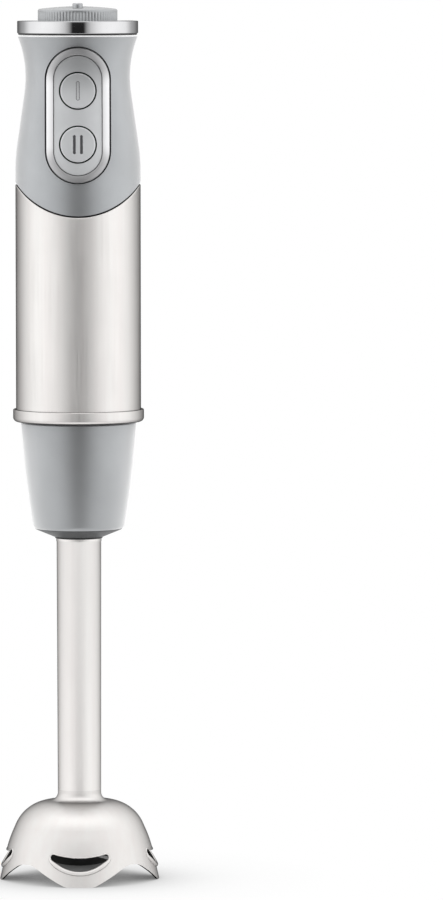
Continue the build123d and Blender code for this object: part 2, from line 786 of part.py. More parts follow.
# Brackets at both ends of the motor, tied together by four long screws beside the stator
z_bush_top = z_bracket_high + bush_height
z_bearing_top = z_bracket_low + bracket_thickness
z_bearing = z_bearing_top - bearing_height
bracket_r = chassis_bore - seat_gap
with BuildPart() as lower_bracket:
    disc(z_bracket_low, z_bearing_top, bracket_r)
    disc(z_bearing - bearing_lip, z_bearing_top, bearing_radius + boss_wall)
    disc(z_bearing, z_bearing_top, bearing_radius + seat_gap, Mode.SUBTRACT)
    disc(z_bearing - bearing_lip, z_bearing, bearing_radius - boss_wall, Mode.SUBTRACT)
    with Locations((0, 0, z_bracket_low)):
        with GridLocations(2 * tie_x, 2 * tie_y, 2, 2):
            Cylinder(tie_radius + seat_gap, bracket_thickness, align=UPRIGHT, mode=Mode.SUBTRACT)
finish(lower_bracket, "lower_bracket")

with BuildPart() as upper_bracket:
    disc(z_bracket_high, z_bracket_top, bracket_r)
    with Locations((0, 0, z_bracket_high)):
        Box(bracket_width, 2 * bracket_r, bracket_thickness, align=UPRIGHT, mode=Mode.INTERSECT)
    disc(z_bracket_high, z_bush_top, bush_radius + boss_wall)
    disc(z_bracket_high, z_bush_top, bush_radius + seat_gap, Mode.SUBTRACT)
    with Locations((0, 0, z_bracket_high)):
        with GridLocations(2 * tie_x, 2 * tie_y, 2, 2):
            Cylinder(tie_radius + seat_gap, bracket_thickness, align=UPRIGHT, mode=Mode.SUBTRACT)
finish(upper_bracket, "upper_bracket")

with BuildPart() as tie_screws:
    for x in (-tie_x, tie_x):
        for y in (-tie_y, tie_y):
            disc(z_bracket_low, z_bracket_top, tie_radius, at=(x, y))
            disc(z_bracket_top, z_bracket_top + tie_head_height, tie_head_radius, at=(x, y))
finish(tie_screws, "tie_screws")

# Rubber ring between stator and chassis, notched for the tie screws
z_damper = (z_stator + z_stator_top - damper_height) / 2
with BuildPart() as damper:
    disc(z_damper, z_damper + damper_height, chassis_bore - seat_gap)
    disc(z_damper, z_damper + damper_height, stator_r + seat_gap, Mode.SUBTRACT)
    with Locations((0, 0, z_damper)):
        with GridLocations(2 * tie_x, 2 * tie_y, 2, 2):
            Cylinder(tie_radius + move_gap, damper_height, align=UPRIGHT, mode=Mode.SUBTRACT)
finish(damper, "damper_ring")

# Carbon brushes on both sides of the commutator, in holders under the upper bracket
z_brush = (z_commutator + z_commutator_top) / 2
brush_start = commutator_radius + move_gap
brush_end = brush_start + brush_length
holder_mouth = commutator_radius + holder_start
holder_end = brush_end + seat_gap + holder_wall
with BuildPart() as holders:
    for side in (-1, 1):
        with Locations((0, side * (holder_mouth + holder_end) / 2, z_brush - brush_height / 2 - holder_wall)):
            top = z_bracket_high - z_brush + brush_height / 2 + holder_wall
            Box(brush_width + 2 * holder_wall, holder_end - holder_mouth, top, align=UPRIGHT)
        with Locations((0, side * brush_end / 2, z_brush)):
            Box(brush_width + 2 * seat_gap, brush_end + 2 * seat_gap, brush_height + 2 * seat_gap, mode=Mode.SUBTRACT)
finish(holders, "brush_holders")

with BuildPart() as brushes:
    for side in (-1, 1):
        with Locations((0, side * (brush_start + brush_end) / 2, z_brush)):
            Box(brush_width, brush_length, brush_height)
finish(brushes, "carbon_brushes")

# Motor bearings
with BuildPart() as upper_bush:
    disc(z_bracket_high, z_bush_top, bush_radius)
    disc(z_bracket_high, z_bush_top, shaft_tail_radius + run_gap, Mode.SUBTRACT)
finish(upper_bush, "upper_bush")

with BuildPart() as lower_bearing:
    disc(z_bearing, z_bearing_top, bearing_radius)
    disc(z_bearing, z_bearing_top, shaft_radius + run_gap, Mode.SUBTRACT)
finish(lower_bearing, "lower_bearing")

# Rotor: shaft, armature with its winding, commutator, cooling fan and drive dog
z_dog_top = z_base - dog_drop
z_dog = z_dog_top - dog_height
z_dog_floor = z_dog + dog_length + dog_floor
z_shaft_shoulder = z_bracket_high - move_gap
with BuildPart() as motor_shaft:
    disc(z_dog_floor + seat_gap, z_shaft_shoulder, shaft_radius)
    disc(z_shaft_shoulder, z_bush_top + shaft_tail_rise, shaft_tail_radius)
finish(motor_shaft, "motor_shaft")

slot_ring = armature_r - armature_slot_skin - armature_slot_radius
shaft_seat = shaft_radius + seat_gap
with BuildPart() as armature:
    disc(z_stator, z_stator_top, armature_r)
    disc(z_stator, z_stator_top, shaft_seat, Mode.SUBTRACT)
    with Locations((0, 0, z_stator)):
        with PolarLocations(slot_ring, armature_slots):
            Cylinder(armature_slot_radius, stator_height, align=UPRIGHT, mode=Mode.SUBTRACT)
finish(armature, "armature_core")

with BuildPart() as winding:
    for bottom in (z_stator - winding_end, z_stator_top):
        disc(bottom, bottom + winding_end, slot_ring + armature_slot_radius)
        disc(bottom, bottom + winding_end, winding_bore, Mode.SUBTRACT)
    with Locations((0, 0, z_stator)):
        with PolarLocations(slot_ring, armature_slots):
            Cylinder(armature_slot_radius - seat_gap, stator_height, align=UPRIGHT)
finish(winding, "armature_winding")

with BuildPart() as commutator:
    disc(z_commutator, z_commutator_top, commutator_radius)
    with BuildSketch(Plane.XY.offset(z_commutator)):
        with PolarLocations(commutator_radius, commutator_bars):
            Rectangle(2 * commutator_slit_depth, commutator_slit)
    extrude(amount=commutator_height, mode=Mode.SUBTRACT)
    disc(z_commutator, z_commutator_top, shaft_seat, Mode.SUBTRACT)
finish(commutator, "commutator")

z_fan = z_base + fan_floor
fan_blade_start = fan_hub - fan_blade_root
fan_blade_span = fan_radius - fan_blade_inset - fan_blade_start
with BuildPart() as fan:
    disc(z_fan, z_fan + fan_plate, fan_radius)
    disc(z_fan, z_fan + fan_height, fan_hub)
    with Locations((0, 0, z_fan)):
        with PolarLocations(fan_blade_start + fan_blade_span / 2, fan_blades):
            Box(fan_blade_span, fan_blade_thickness, fan_height, align=UPRIGHT)
    disc(z_fan, z_fan + fan_height, shaft_seat, Mode.SUBTRACT)
finish(fan, "cooling_fan")

with BuildPart() as drive_dog:
    disc(z_dog, z_dog_top, dog_outer_radius)
    extrude(star(z_dog, dog_gap), amount=dog_length + dog_floor, mode=Mode.SUBTRACT)
    disc(z_dog_floor, z_dog_top, shaft_seat, Mode.SUBTRACT)
finish(drive_dog, "drive_dog")

# Nose under the handle: a short tube with helical grooves for the lock pins, on a screwed flange
lock_lead = lock_drop * 360 / lock_turn
groove_arc = lock_turn + 2 * lock_overrun
groove_rise = lock_lead * groove_arc / 360
z_groove = z_pin - lock_lead * (lock_turn + lock_overrun) / 360
groove_width = 2 * (lock_pin_radius + lock_side_gap)
with BuildPart() as groove:
    with BuildLine() as ramp:
        Helix(lock_lead, groove_rise, nose_r, center=(0, 0, z_groove))
    with BuildSketch(Plane(ramp.line @ 0, x_dir=(1, 0, 0), z_dir=ramp.line % 0)):
        Rectangle(2 * lock_groove_depth, groove_width)
    sweep(path=ramp.line, is_frenet=True)

with BuildPart() as nose:
    disc(z_nose, z_base, nose_r)
    with PolarLocations(0, lock_count):
        add(groove.part, mode=Mode.SUBTRACT)
    disc(z_nose, z_base, nose_r - nose_wall, Mode.SUBTRACT)
    disc(z_base, z_chassis, base_bore - seat_gap)
    disc(z_base, z_chassis, shaft_radius + nose_shaft_gap, Mode.SUBTRACT)
    for at in nose_screws_at:
        disc(z_base, z_chassis, screw_radius + seat_gap, Mode.SUBTRACT, at)
        disc(z_base, z_base + screw_head_height + seat_gap, screw_head_radius + seat_gap, Mode.SUBTRACT, at)
finish(nose, "coupling_nose")

with BuildPart() as nose_screws:
    for at in nose_screws_at:
        disc(z_base + seat_gap, z_base + screw_head_height, screw_head_radius, at=at)
        disc(z_base + screw_head_height, z_base + nose_screw_length, screw_radius, at=at)
finish(nose_screws, "nose_screws")

# Gasket between the nose's flange and the foot
z_gasket_top = z_base - seat_gap
z_gasket = z_gasket_top - gasket_height
gasket_inner = socket_r + move_gap
with BuildPart() as gasket:
    disc(z_gasket, z_gasket_top, gasket_inner + gasket_width)
    disc(z_gasket, z_gasket_top, gasket_inner, Mode.SUBTRACT)
finish(gasket, "foot_gasket")

# Collar: the grey cup that joins tube and handle
z_corner = z_collar + collar_cone_height
z_cavity = z_collar + collar_floor
tube_seat = tube_top_r + seat_gap
with BuildPart() as collar:
    with BuildSketch(Plane.XZ) as collar_face:
        with BuildLine():
            SagittaArc((collar_foot_r, z_corner), (collar_top_r, z_collar_top), -collar_bulge)
            Polyline((collar_top_r, z_collar_top), (0, z_collar_top), (0, z_collar), (tube_seat, z_collar))
            Line((tube_seat, z_collar), (collar_foot_r, z_corner))
        make_face()
        corner = collar_face.vertices().sort_by_distance((collar_foot_r, z_corner))[0]
        fillet(corner, collar_corner)
    revolve(axis=Axis.Z)
    with BuildSketch(Plane.XZ):
        with BuildLine():
            Polyline(
                (0, z_cavity),
                (collar_radius(z_cavity) - collar_wall, z_cavity),
                (collar_top_r - collar_wall, z_collar_top),
                (0, z_collar_top),
                close=True,
            )
        make_face()
    revolve(axis=Axis.Z, mode=Mode.SUBTRACT)
    disc(z_collar, z_cavity, tube_seat, Mode.SUBTRACT)
finish(collar, "collar")

# Core inside the collar: the socket with its three lock pins, and the boss that holds the tube
z_core_top = z_gasket - seat_gap
z_socket_floor = z_socket - socket_floor
z_tube_top = z_collar + tube_grip
pin_tip = nose_r - lock_groove_depth + move_gap
pin_start = lock_turn + lock_overrun
with BuildPart() as core:
    disc(z_cavity + seat_gap, z_socket, tube_seat + tube_boss_wall)
    disc(z_socket_floor, z_core_top, core_r)
    disc(z_core_top - core_flange, z_core_top, collar_radius(z_core_top - core_flange) - collar_wall - seat_gap)
    disc(z_socket, z_core_top, socket_r, Mode.SUBTRACT)
    disc(z_cavity, z_tube_top + seat_gap, tube_seat, Mode.SUBTRACT)
    disc(z_tube_top, z_socket, foot_bush_radius + seat_gap, Mode.SUBTRACT)
    for turn in range(lock_count):
        angle = pin_start + 360 / lock_count * turn
        with BuildSketch(side_plane(angle + 90).offset(pin_tip)):
            with Locations((0, z_pin)):
                Circle(lock_pin_radius)
        extrude(amount=core_r - core_wall / 2 - pin_tip)
finish(core, "collar_core")

# Shaft tube between collar and bell, slightly tapered
with BuildPart() as tube:
    with BuildSketch(Plane.XZ):
        with BuildLine():
            Polyline(
                (tube_foot_r - tube_wall, bell_height),
                (tube_foot_r, bell_height),
                (tube_top_r, z_tube_top),
                (tube_top_r - tube_wall, z_tube_top),
                close=True,
            )
        make_face()
    revolve(axis=Axis.Z)
finish(tube, "shaft_tube")

# Bell guard: pressed steel, with four flow slots over four feet and arches between the feet
with BuildPart() as bell:
    with BuildSketch(Plane.XZ):
        add(bell_block(0, bell_wall))
        add(bell_block(bell_wall, 2 * bell_wall), mode=Mode.SUBTRACT)
        Rectangle(bell_rim_diameter, bell_height, align=(Align.MIN, Align.MIN), mode=Mode.INTERSECT)
    revolve(axis=Axis.Z)
    for foot in range(bell_feet):
        quarter = 360 / bell_feet * foot
        with BuildSketch(side_plane(quarter)) as slot:
            with BuildLine():
                left_top = (-slot_half_width, slot_top + slot_top_rise)
                left_foot = (-slot_half_width, slot_top + slot_top_rise - slot_end_height)
                right_top = (slot_half_width, slot_top + slot_top_rise)
                right_foot = (slot_half_width, slot_top + slot_top_rise - slot_end_height)
                ThreePointArc(left_top, (0, slot_top), right_top)
                Line(right_top, right_foot)
                ThreePointArc(right_foot, (0, slot_bottom), left_foot)
                Line(left_foot, left_top)
            make_face()
            fillet(slot.vertices(), slot_corner)
        extrude(amount=bell_rim_diameter, mode=Mode.SUBTRACT)
        with BuildSketch(side_plane(quarter + 180 / bell_feet)):
            with BuildLine():
                far = bell_rim_r
                FilletPolyline(
                    (-far, -floor_relief),
                    (-arch_half_width, -floor_relief),
                    (-arch_flat_half, arch_height),
                    (arch_flat_half, arch_height),
                    (arch_half_width, -floor_relief),
                    (far, -floor_relief),
                    radius=(arch_foot_round, arch_top_round, arch_top_round, arch_foot_round),
                )
                Polyline((far, -floor_relief), (far, -arch_height), (-far, -arch_height), (-far, -floor_relief))
            make_face()
        extrude(amount=bell_rim_diameter, mode=Mode.SUBTRACT)
finish(bell, "bell_guard")

# Bushes and seal that guide the foot's shaft
with BuildPart() as foot_bush:
    disc(z_socket - foot_bush_height, z_socket, foot_bush_radius)
    disc(z_socket - foot_bush_height, z_socket, foot_shaft_radius + run_gap, Mode.SUBTRACT)
finish(foot_bush, "upper_foot_bush")

z_carrier = bell_height - carrier_below
z_carrier_top = bell_height + carrier_above
carrier_r = tube_foot_r - max(tube_wall, bell_wall) - seat_gap
with BuildPart() as carrier:
    disc(z_carrier, z_carrier_top, carrier_r)
    disc(z_carrier, z_carrier_top, carrier_bush_radius + seat_gap, Mode.SUBTRACT)
finish(carrier, "bearing_carrier")

z_carrier_bush_top = z_carrier_top - carrier_lip
with BuildPart() as carrier_bush:
    disc(z_carrier_bush_top - carrier_bush_height, z_carrier_bush_top, carrier_bush_radius)
    disc(z_carrier_bush_top - carrier_bush_height, z_carrier_bush_top, foot_shaft_radius + run_gap, Mode.SUBTRACT)
finish(carrier_bush, "lower_foot_bush")

with BuildPart() as seal:
    disc(z_carrier, z_carrier + seal_height, carrier_bush_radius)
    disc(z_carrier, z_carrier + seal_height, foot_shaft_radius + run_gap, Mode.SUBTRACT)
finish(seal, "shaft_seal")

# Drive through the foot: shaft, upper dog, blade, its spacer and its nut
z_foot_dog = z_socket + dog_base_gap
z_foot_dog_star = z_foot_dog + dog_base
z_foot_dog_top = z_dog + dog_length
foot_shaft_seat = foot_shaft_radius + seat_gap
z_nut = blade_level - nut_height
with BuildPart() as foot_shaft:
    disc(z_nut + nut_height / 2, z_foot_dog_top, foot_shaft_radius)
finish(foot_shaft, "foot_shaft")

with BuildPart() as foot_dog:
    disc(z_foot_dog, z_foot_dog_star, dog_base_radius)
    extrude(star(z_foot_dog_star, 0), amount=z_foot_dog_top - z_foot_dog_star)
    disc(z_foot_dog, z_foot_dog_top, foot_shaft_seat, Mode.SUBTRACT)
finish(foot_dog, "foot_dog")

wing_angles = (blade_up_angle, -blade_down_angle, blade_up_angle, -blade_down_angle)
with BuildPart() as blade:
    disc(blade_level, blade_level + blade_thickness, blade_hub_radius)
    for wing, tilt in enumerate(wing_angles):
        heading = radians(360 / len(wing_angles) * (wing + 0.5))
        lean = radians(tilt)
        outward = Vector(cos(heading) * cos(lean), sin(heading) * cos(lean), sin(lean))
        upward = Vector(-cos(heading) * sin(lean), -sin(heading) * sin(lean), cos(lean))
        root = Vector(blade_root * cos(heading), blade_root * sin(heading), blade_level)
        span = (blade_reach - blade_root) / cos(lean)
        with BuildSketch(Plane(root, x_dir=outward, z_dir=upward)):
            with BuildLine():
                Polyline(
                    (0, -blade_root_width / 2),
                    (span, blade_root_width / 2 - blade_tip_width),
                    (span, blade_root_width / 2),
                    (0, blade_root_width / 2),
                    close=True,
                )
            make_face()
        extrude(amount=blade_thickness)
    disc(blade_level - blade_reach, blade_level + blade_reach, foot_shaft_seat, Mode.SUBTRACT)
finish(blade, "blade")

with BuildPart() as spacer:
    disc(blade_level + blade_thickness + seat_gap, z_carrier - move_gap, spacer_radius)
    disc(blade_level, z_carrier, foot_shaft_seat, Mode.SUBTRACT)
finish(spacer, "blade_spacer")

with BuildPart() as nut:
    with BuildSketch(Plane.XY.offset(z_nut)):
        RegularPolygon(nut_radius, 6)
    extrude(amount=nut_height - seat_gap)
    disc(z_nut + nut_height / 2 - seat_gap, blade_level, foot_shaft_seat, Mode.SUBTRACT)
finish(nut, "blade_nut")

print("top of the pointer", z_pointer)
print("lock: turn", lock_turn, "degrees, drop", lock_drop, "mm, pins at z", z_pin, "radius of the nose", nose_r)
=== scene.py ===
import json
from math import asin, atan2, ceil, cos, hypot, pi, radians, sin, sqrt, tan

import bmesh
import bpy
from bpy.props import FloatProperty, FloatVectorProperty, IntProperty, PointerProperty
from bpy.types import Operator, Panel, PropertyGroup
from mathutils import Matrix, Quaternion, Vector

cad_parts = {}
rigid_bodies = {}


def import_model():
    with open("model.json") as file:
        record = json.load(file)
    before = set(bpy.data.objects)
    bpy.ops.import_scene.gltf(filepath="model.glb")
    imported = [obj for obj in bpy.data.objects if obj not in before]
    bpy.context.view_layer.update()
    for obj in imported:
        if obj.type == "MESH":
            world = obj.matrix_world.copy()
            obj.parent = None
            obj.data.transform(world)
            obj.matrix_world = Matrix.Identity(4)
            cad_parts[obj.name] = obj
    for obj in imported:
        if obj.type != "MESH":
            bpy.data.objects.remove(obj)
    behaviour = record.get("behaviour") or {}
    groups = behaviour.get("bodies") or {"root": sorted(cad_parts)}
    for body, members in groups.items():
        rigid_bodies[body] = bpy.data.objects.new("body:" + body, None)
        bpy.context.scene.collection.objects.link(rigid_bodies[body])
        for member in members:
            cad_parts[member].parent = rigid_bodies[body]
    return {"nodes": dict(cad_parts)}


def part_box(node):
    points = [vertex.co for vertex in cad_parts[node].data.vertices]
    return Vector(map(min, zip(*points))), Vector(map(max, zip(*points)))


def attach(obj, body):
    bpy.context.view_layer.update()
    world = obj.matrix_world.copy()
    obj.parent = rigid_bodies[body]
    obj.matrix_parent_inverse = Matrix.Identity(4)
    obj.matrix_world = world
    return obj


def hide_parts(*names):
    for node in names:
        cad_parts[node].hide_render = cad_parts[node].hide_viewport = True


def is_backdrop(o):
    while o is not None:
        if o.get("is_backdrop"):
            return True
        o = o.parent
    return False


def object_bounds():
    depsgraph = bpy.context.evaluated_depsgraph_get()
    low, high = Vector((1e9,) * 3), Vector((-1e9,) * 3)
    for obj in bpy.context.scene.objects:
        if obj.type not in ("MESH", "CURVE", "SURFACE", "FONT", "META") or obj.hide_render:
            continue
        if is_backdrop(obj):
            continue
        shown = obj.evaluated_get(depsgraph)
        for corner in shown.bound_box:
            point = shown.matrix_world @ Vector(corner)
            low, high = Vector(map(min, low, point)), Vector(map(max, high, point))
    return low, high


bl_info = {
    "name": "Stick blender looks",
    "version": (1, 0, 0),
    "blender": (4, 5, 0),
    "location": "View3D > Sidebar > Stick Blender",
    "description": "Skins and finishes of a hand-held stick blender, laid on its packed solid model",
    "category": "Object",
}

# The start-up scene's own objects make way for the part
for leftover in list(bpy.data.objects):
    bpy.data.objects.remove(leftover)

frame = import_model()
CAD_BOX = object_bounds()

MM = 0.001
TURN = 2.0 * pi
SHARP_ANGLE = radians(38)


def length(label, about, millimetres):
    """A length in the add-on's settings, given in millimetres."""
    return FloatProperty(name=label, description=about, default=millimetres * MM, min=0.0, unit="LENGTH")


def colour(label, about, value):
    """A linear colour in the add-on's settings."""
    return FloatVectorProperty(
        name=label, description=about, default=value, size=3, min=0.0, max=1.0, subtype="COLOR"
    )


def amount(label, about, value, most=1.0):
    """A plain number in the add-on's settings."""
    return FloatProperty(name=label, description=about, default=value, min=0.0, max=most)


class StickDialSizes(PropertyGroup):
    """Sizes of the ribbed speed dial."""

    ribs: IntProperty(name="Ribs", description="Number of ribs round the dial", default=72, min=12, max=160)
    rib_depth: length("Rib depth", "Depth of the grooves between the ribs", 0.24)
    edge_round: length("Edge round", "Rounding of the dial's top edge", 1.0)
    dome: length("Dome", "Rise of the dial's top to its centre", 1.1)
    pointer_width: length("Pointer width", "Width of the raised pointer", 4.7)
    pointer_length: length("Pointer length", "Length of the raised pointer", 27.0)
    pointer_height: length("Pointer height", "Height of the pointer over the dome", 1.4)
    pointer_round: length("Pointer round", "Rounding of the pointer's top edge", 0.6)
    stem_radius: length("Stem radius", "Radius of the stem under the dial", 5.5)
    stem_bore: length("Stem bore", "Radius of the hole for the spindle", 3.05)


class StickBodySizes(PropertyGroup):
    """Sizes of the steel skins, the rings and the collar."""

    scoop_radius: length("Scoop radius", "Radius of the curved seam between sleeve and grip", 35.55)
    scoop_level: length("Scoop level", "Height of the seam's centre of curvature", 339.0)
    sleeve_wall: length("Sleeve wall", "Thickness of the steel sleeve", 0.8)
    ring_wall: length("Ring wall", "Thickness of the chrome ring under the dial", 1.9)
    ring_round: length("Ring edge round", "Rounding of the chrome ring's edges", 0.35)
    # The black line under each ring is painted shade: a black band where the shadow line falls
    shadow_line_height: length("Seal height", "Height of the black line under each ring", 0.6)
    base_bore: length("Base bore", "Radius of the base ring's bore", 27.7)
    base_round: length("Base round", "Rounding of the base ring's lower edge", 2.0)
    collar_wall: length("Collar wall", "Thickness of the collar's wall", 2.2)
    collar_mouth: length("Collar mouth", "Radius of the collar where the tube leaves it", 10.27)
    collar_foot: length("Collar foot radius", "Radius of the collar's lower corner", 20.6)
    collar_cone: length("Collar cone", "Height of the collar's lower cone", 4.0)
    collar_round: length("Collar round", "Rounding of the collar's lower corner", 3.0)
    collar_bulge: length("Collar bulge", "Outward bow of the collar's flank", 0.66)
    tube_wall: length("Tube wall", "Thickness of the steel tube", 1.0)
    tube_foot: length("Tube foot radius", "Radius of the tube where it joins the bell", 9.9)


class StickKeySizes(PropertyGroup):
    """Sizes of the button field on the front of the grip."""

    centre_level: length("Field level", "Height of the button field's centre", 349.6)
    bezel_width: length("Bezel width", "Width of the chrome bezel", 28.5)
    bezel_height: length("Bezel height", "Height of the chrome bezel", 60.6)
    bezel_border: length("Bezel border", "Width of the bezel's rim", 3.1)
    bezel_lift: length("Bezel lift", "How far the bezel stands over the grip", 1.2)
    bezel_round: length("Bezel round", "Rounding of the bezel's edges", 0.5)
    bezel_depth: length("Bezel depth", "How far the bezel reaches into the grip", 3.0)
    button_radius: length("Button radius", "Radius of both buttons", 7.95)
    button_lift: length("Button lift", "How far the buttons stand over the grip", 1.1)
    button_round: length("Button round", "Rounding of the buttons' edges", 0.55)
    button_dish: length("Button dish", "Depth of the finger dish in a button", 0.25)
    run_level: length("Run level", "Height of the upper button", 360.7)
    boost_level: length("Boost level", "Height of the lower button", 336.5)
    mark_length: length("Mark length", "Length of a mark's bars", 8.4)
    mark_width: length("Mark width", "Width of a mark's bars", 1.4)
    mark_pitch: length("Mark pitch", "Spacing of the two bars of the boost mark", 3.2)
    mark_depth: length("Mark depth", "Depth of the sunk marks", 0.4)
    crown_shift: length("Crown shift", "How far the field's axis lies behind the grip's", 7.0)


class StickBellSizes(PropertyGroup):
    """Sizes of the bell's slots, and of the lip and the turned-up edge at each."""

    slot_half: length("Slot half width", "Half the width of a slot", 13.5)
    slot_top: length("Slot top", "Height of a slot's top edge at its middle", 13.4)
    slot_bottom: length("Slot bottom", "Height of a slot's bottom edge at its middle", 6.2)
    slot_rise: length("Slot rise", "Rise of the top edge towards the ends", 2.05)
    slot_end: length("Slot end height", "Height of a slot at its ends", 3.6)
    slot_corner: length("Slot corner", "Rounding of a slot's corners", 1.7)
    lip_radius: length("Lip radius", "Radius of the rolled lip under a slot", 1.1)
    lip_edge: length("Lip edge", "Radius of the rolled lip over a slot", 0.4)
    lip_sink: length("Lip sink", "Depth of the lip's centre under the bell's outer face", 0.15)
    hem_height: length("Hem height", "How far the edge under a slot is turned up inside it", 3.4)
    hem_reach: length("Hem reach", "How far the turned-up edge leans into the bell", 2.4)
    hem_wall: length("Hem wall", "Thickness of the turned-up edge", 0.5)
    bell_wall: length("Bell wall", "Thickness of the bell's sheet", 1.2)


class StickFinishes(PropertyGroup):
    """Colours of the finishes."""

    grey: colour("Grey plastic", "Satin silver-grey of grip and collar", (0.265, 0.275, 0.285))
    panel: colour("Panel plastic", "Grey of the button field", (0.58, 0.59, 0.60))
    dial: colour("Dial plastic", "Light silver of the dial", (0.41, 0.42, 0.43))
    cap: colour("Cap plastic", "Grey of the top cap", (0.40, 0.41, 0.42))
    steel: colour("Brushed steel", "Warm white of the brushed steel", (1.0, 0.965, 0.945))
    chrome: colour("Polished chrome", "Bright chrome", (0.77, 0.77, 0.78))
    black: colour("Black plastic", "Moulded black", (0.022, 0.022, 0.024))
    rubber: colour("Rubber", "Soft black", (0.012, 0.012, 0.013))


class StickStudio(PropertyGroup):
    """The white studio that the part stands in."""

    floor_tone: amount("Floor tone", "Lightness of the floor", 0.92)
    floor_lift: amount("Floor lift", "Share of the seen floor's white in mirrored views of it", 0.3)
    shadow_reach: length("Shadow reach", "How far from the part its soft shadow begins", 85.0)
    floor_front: length("Floor front", "How far the floor reaches in front of the part", 320.0)
    floor_back: length("Floor back", "How far the floor reaches behind the part", 600.0)
    floor_width: length("Floor width", "Width of the floor", 1800.0)
    side_light: amount("Side light", "Brightness of the white walls round the part", 1.62, 4.0)
    back_light: amount("Back light", "Brightness of the dim flags behind, as a share", 0.62)
    front_gap: amount("Front gap", "Brightness of the dark gap round the camera", 0.015, 4.0)
    lens: FloatProperty(name="Lens", description="Focal length in millimetres", default=286.7, min=1.0)


SETTINGS = {
    "stick_dial": StickDialSizes,
    "stick_body": StickBodySizes,
    "stick_keys": StickKeySizes,
    "stick_bell": StickBellSizes,
    "stick_finishes": StickFinishes,
    "stick_studio": StickStudio,
}


# Outlines


def rounded(points, radii, steps=8):
    """An open outline with its inner corners rounded to the radii given."""
    outline = [Vector(points[0])]
    for before, corner, after, radius in zip(points, points[1:], points[2:], radii):
        corner = Vector(corner)
        if radius <= 0.0:
            outline.append(corner)
            continue
        towards = (Vector(before) - corner).normalized()
        away = (Vector(after) - corner).normalized()
        half = towards.angle(away) / 2.0
        centre = corner + (towards + away).normalized() * (radius / sin(half))
        start = corner + towards * (radius / tan(half)) - centre
        end = corner + away * (radius / tan(half)) - centre
        sweep = atan2(start.x * end.y - start.y * end.x, start.dot(end))
        for step in range(steps + 1):
            turned = start.copy()
            turned.rotate(Matrix.Rotation(sweep * step / steps, 2))
            outline.append(centre + turned)
    outline.append(Vector(points[-1]))
    return outline


def bowed(start, end, sagitta, steps=24):
    """A shallow arc between two points, bowed to the right of its direction."""
    start, end = Vector(start), Vector(end)
    chord = end - start
    side = Vector((chord.y, -chord.x)).normalized()
    return [
        start + chord * (k / steps) + side * sagitta * (1.0 - (2.0 * k / steps - 1.0) ** 2)
        for k in range(steps + 1)
    ]


def level_radius(outline, level):
    """The radius of an outline of (radius, height) points at a height."""
    for lower, upper in zip(outline, outline[1:]):
        low, high = sorted((lower.y, upper.y))
        if low <= level <= high and high > low:
            share = (level - lower.y) / (upper.y - lower.y)
            return lower.x + (upper.x - lower.x) * share
    raise ValueError(f"the outline doesn't reach {level:.4f} m")


def clamped(value):
    """A number held between 0 and 1."""
    return min(1.0, max(0.0, value))


def grip_radius(level):
    """The grip's radius at a height: a waisted top, a straight flank and a full barrel."""
    waist, barrel = 366.6 * MM, 324.0 * MM
    neck_arc, belly_arc, belly = 50.0 * MM, 82.0 * MM, 28.5 * MM
    narrow = 23.75 * MM
    rise = waist - barrel
    spread = (narrow + neck_arc) - (belly - belly_arc)
    lean = asin((neck_arc + belly_arc) / hypot(rise, spread)) - atan2(spread, rise)
    if level >= waist - neck_arc * sin(lean):
        return narrow + neck_arc - sqrt(neck_arc**2 - (level - waist) ** 2)
    if level <= barrel:
        return belly
    foot = barrel + belly_arc * sin(lean)
    if level <= foot:
        return belly - belly_arc + sqrt(belly_arc**2 - (level - barrel) ** 2)
    start = belly - belly_arc + belly_arc * cos(lean)
    return start - (level - foot) * tan(lean)


def bell_outline():
    """The bell's outer outline, from the rim to the neck."""
    corners = [(36.4, 0.0), (32.5, 17.4), (25.1, 34.3), (9.9, 36.4), (9.9, 41.0)]
    flank_arc, shoulder_arc, neck_arc = 50.0 * MM, 18.0 * MM, 3.6 * MM
    return rounded([Vector(c) * MM for c in corners], [flank_arc, shoulder_arc, neck_arc], 24)


# Meshes


def stack(rings, closed=False):
    """A mesh of rings of points joined in turn; a ring of one point is a pole."""
    mesh = bmesh.new()
    made = [[mesh.verts.new(point) for point in ring] for ring in rings]
    pairs = list(zip(made, made[1:]))
    if closed:
        pairs.append((made[-1], made[0]))
    for lower, upper in pairs:
        count = max(len(lower), len(upper))
        for k in range(count):
            after = (k + 1) % count
            corners = [
                lower[k % len(lower)],
                lower[after % len(lower)],
                upper[after % len(upper)],
                upper[k % len(upper)],
            ]
            mesh.faces.new(list(dict.fromkeys(corners)))
    bmesh.ops.recalc_face_normals(mesh, faces=mesh.faces)
    return mesh


def lathe(profile, segments=256, closed=False, ripple=None):
    """A turned mesh from (radius, height) points; ripple gives a groove's depth."""
    rings = []
    for radius, level in profile:
        if radius < 1e-7:
            rings.append([(0.0, 0.0, level)])
            continue
        ring = []
        for k in range(segments):
            angle = TURN * k / segments
            reach = radius - (ripple(angle, radius, level) if ripple else 0.0)
            ring.append((reach * sin(angle), -reach * cos(angle), level))
        rings.append(ring)
    return stack(rings, closed)


def stadium(half_width, half_straight, arc_steps=48, side_steps=24):
    """A round-ended loop of (across, along) points, long in its second direction."""
    loop = []
    for end in (1.0, -1.0):
        for k in range(arc_steps):
            angle = pi * k / arc_steps
            loop.append((end * half_width * cos(angle), end * (half_straight + half_width * sin(angle))))
        for k in range(side_steps):
            loop.append((-end * half_width, end * half_straight * (1.0 - 2.0 * k / side_steps)))
    return loop


def put(name, mesh, finishes):
    """Put a mesh with its finishes in the scene."""
    data = bpy.data.meshes.new(name)
    mesh.to_mesh(data)
    mesh.free()
    for finish in finishes:
        data.materials.append(finish)
    made = bpy.data.objects.new(name, data)
    bpy.context.scene.collection.objects.link(made)
    return made


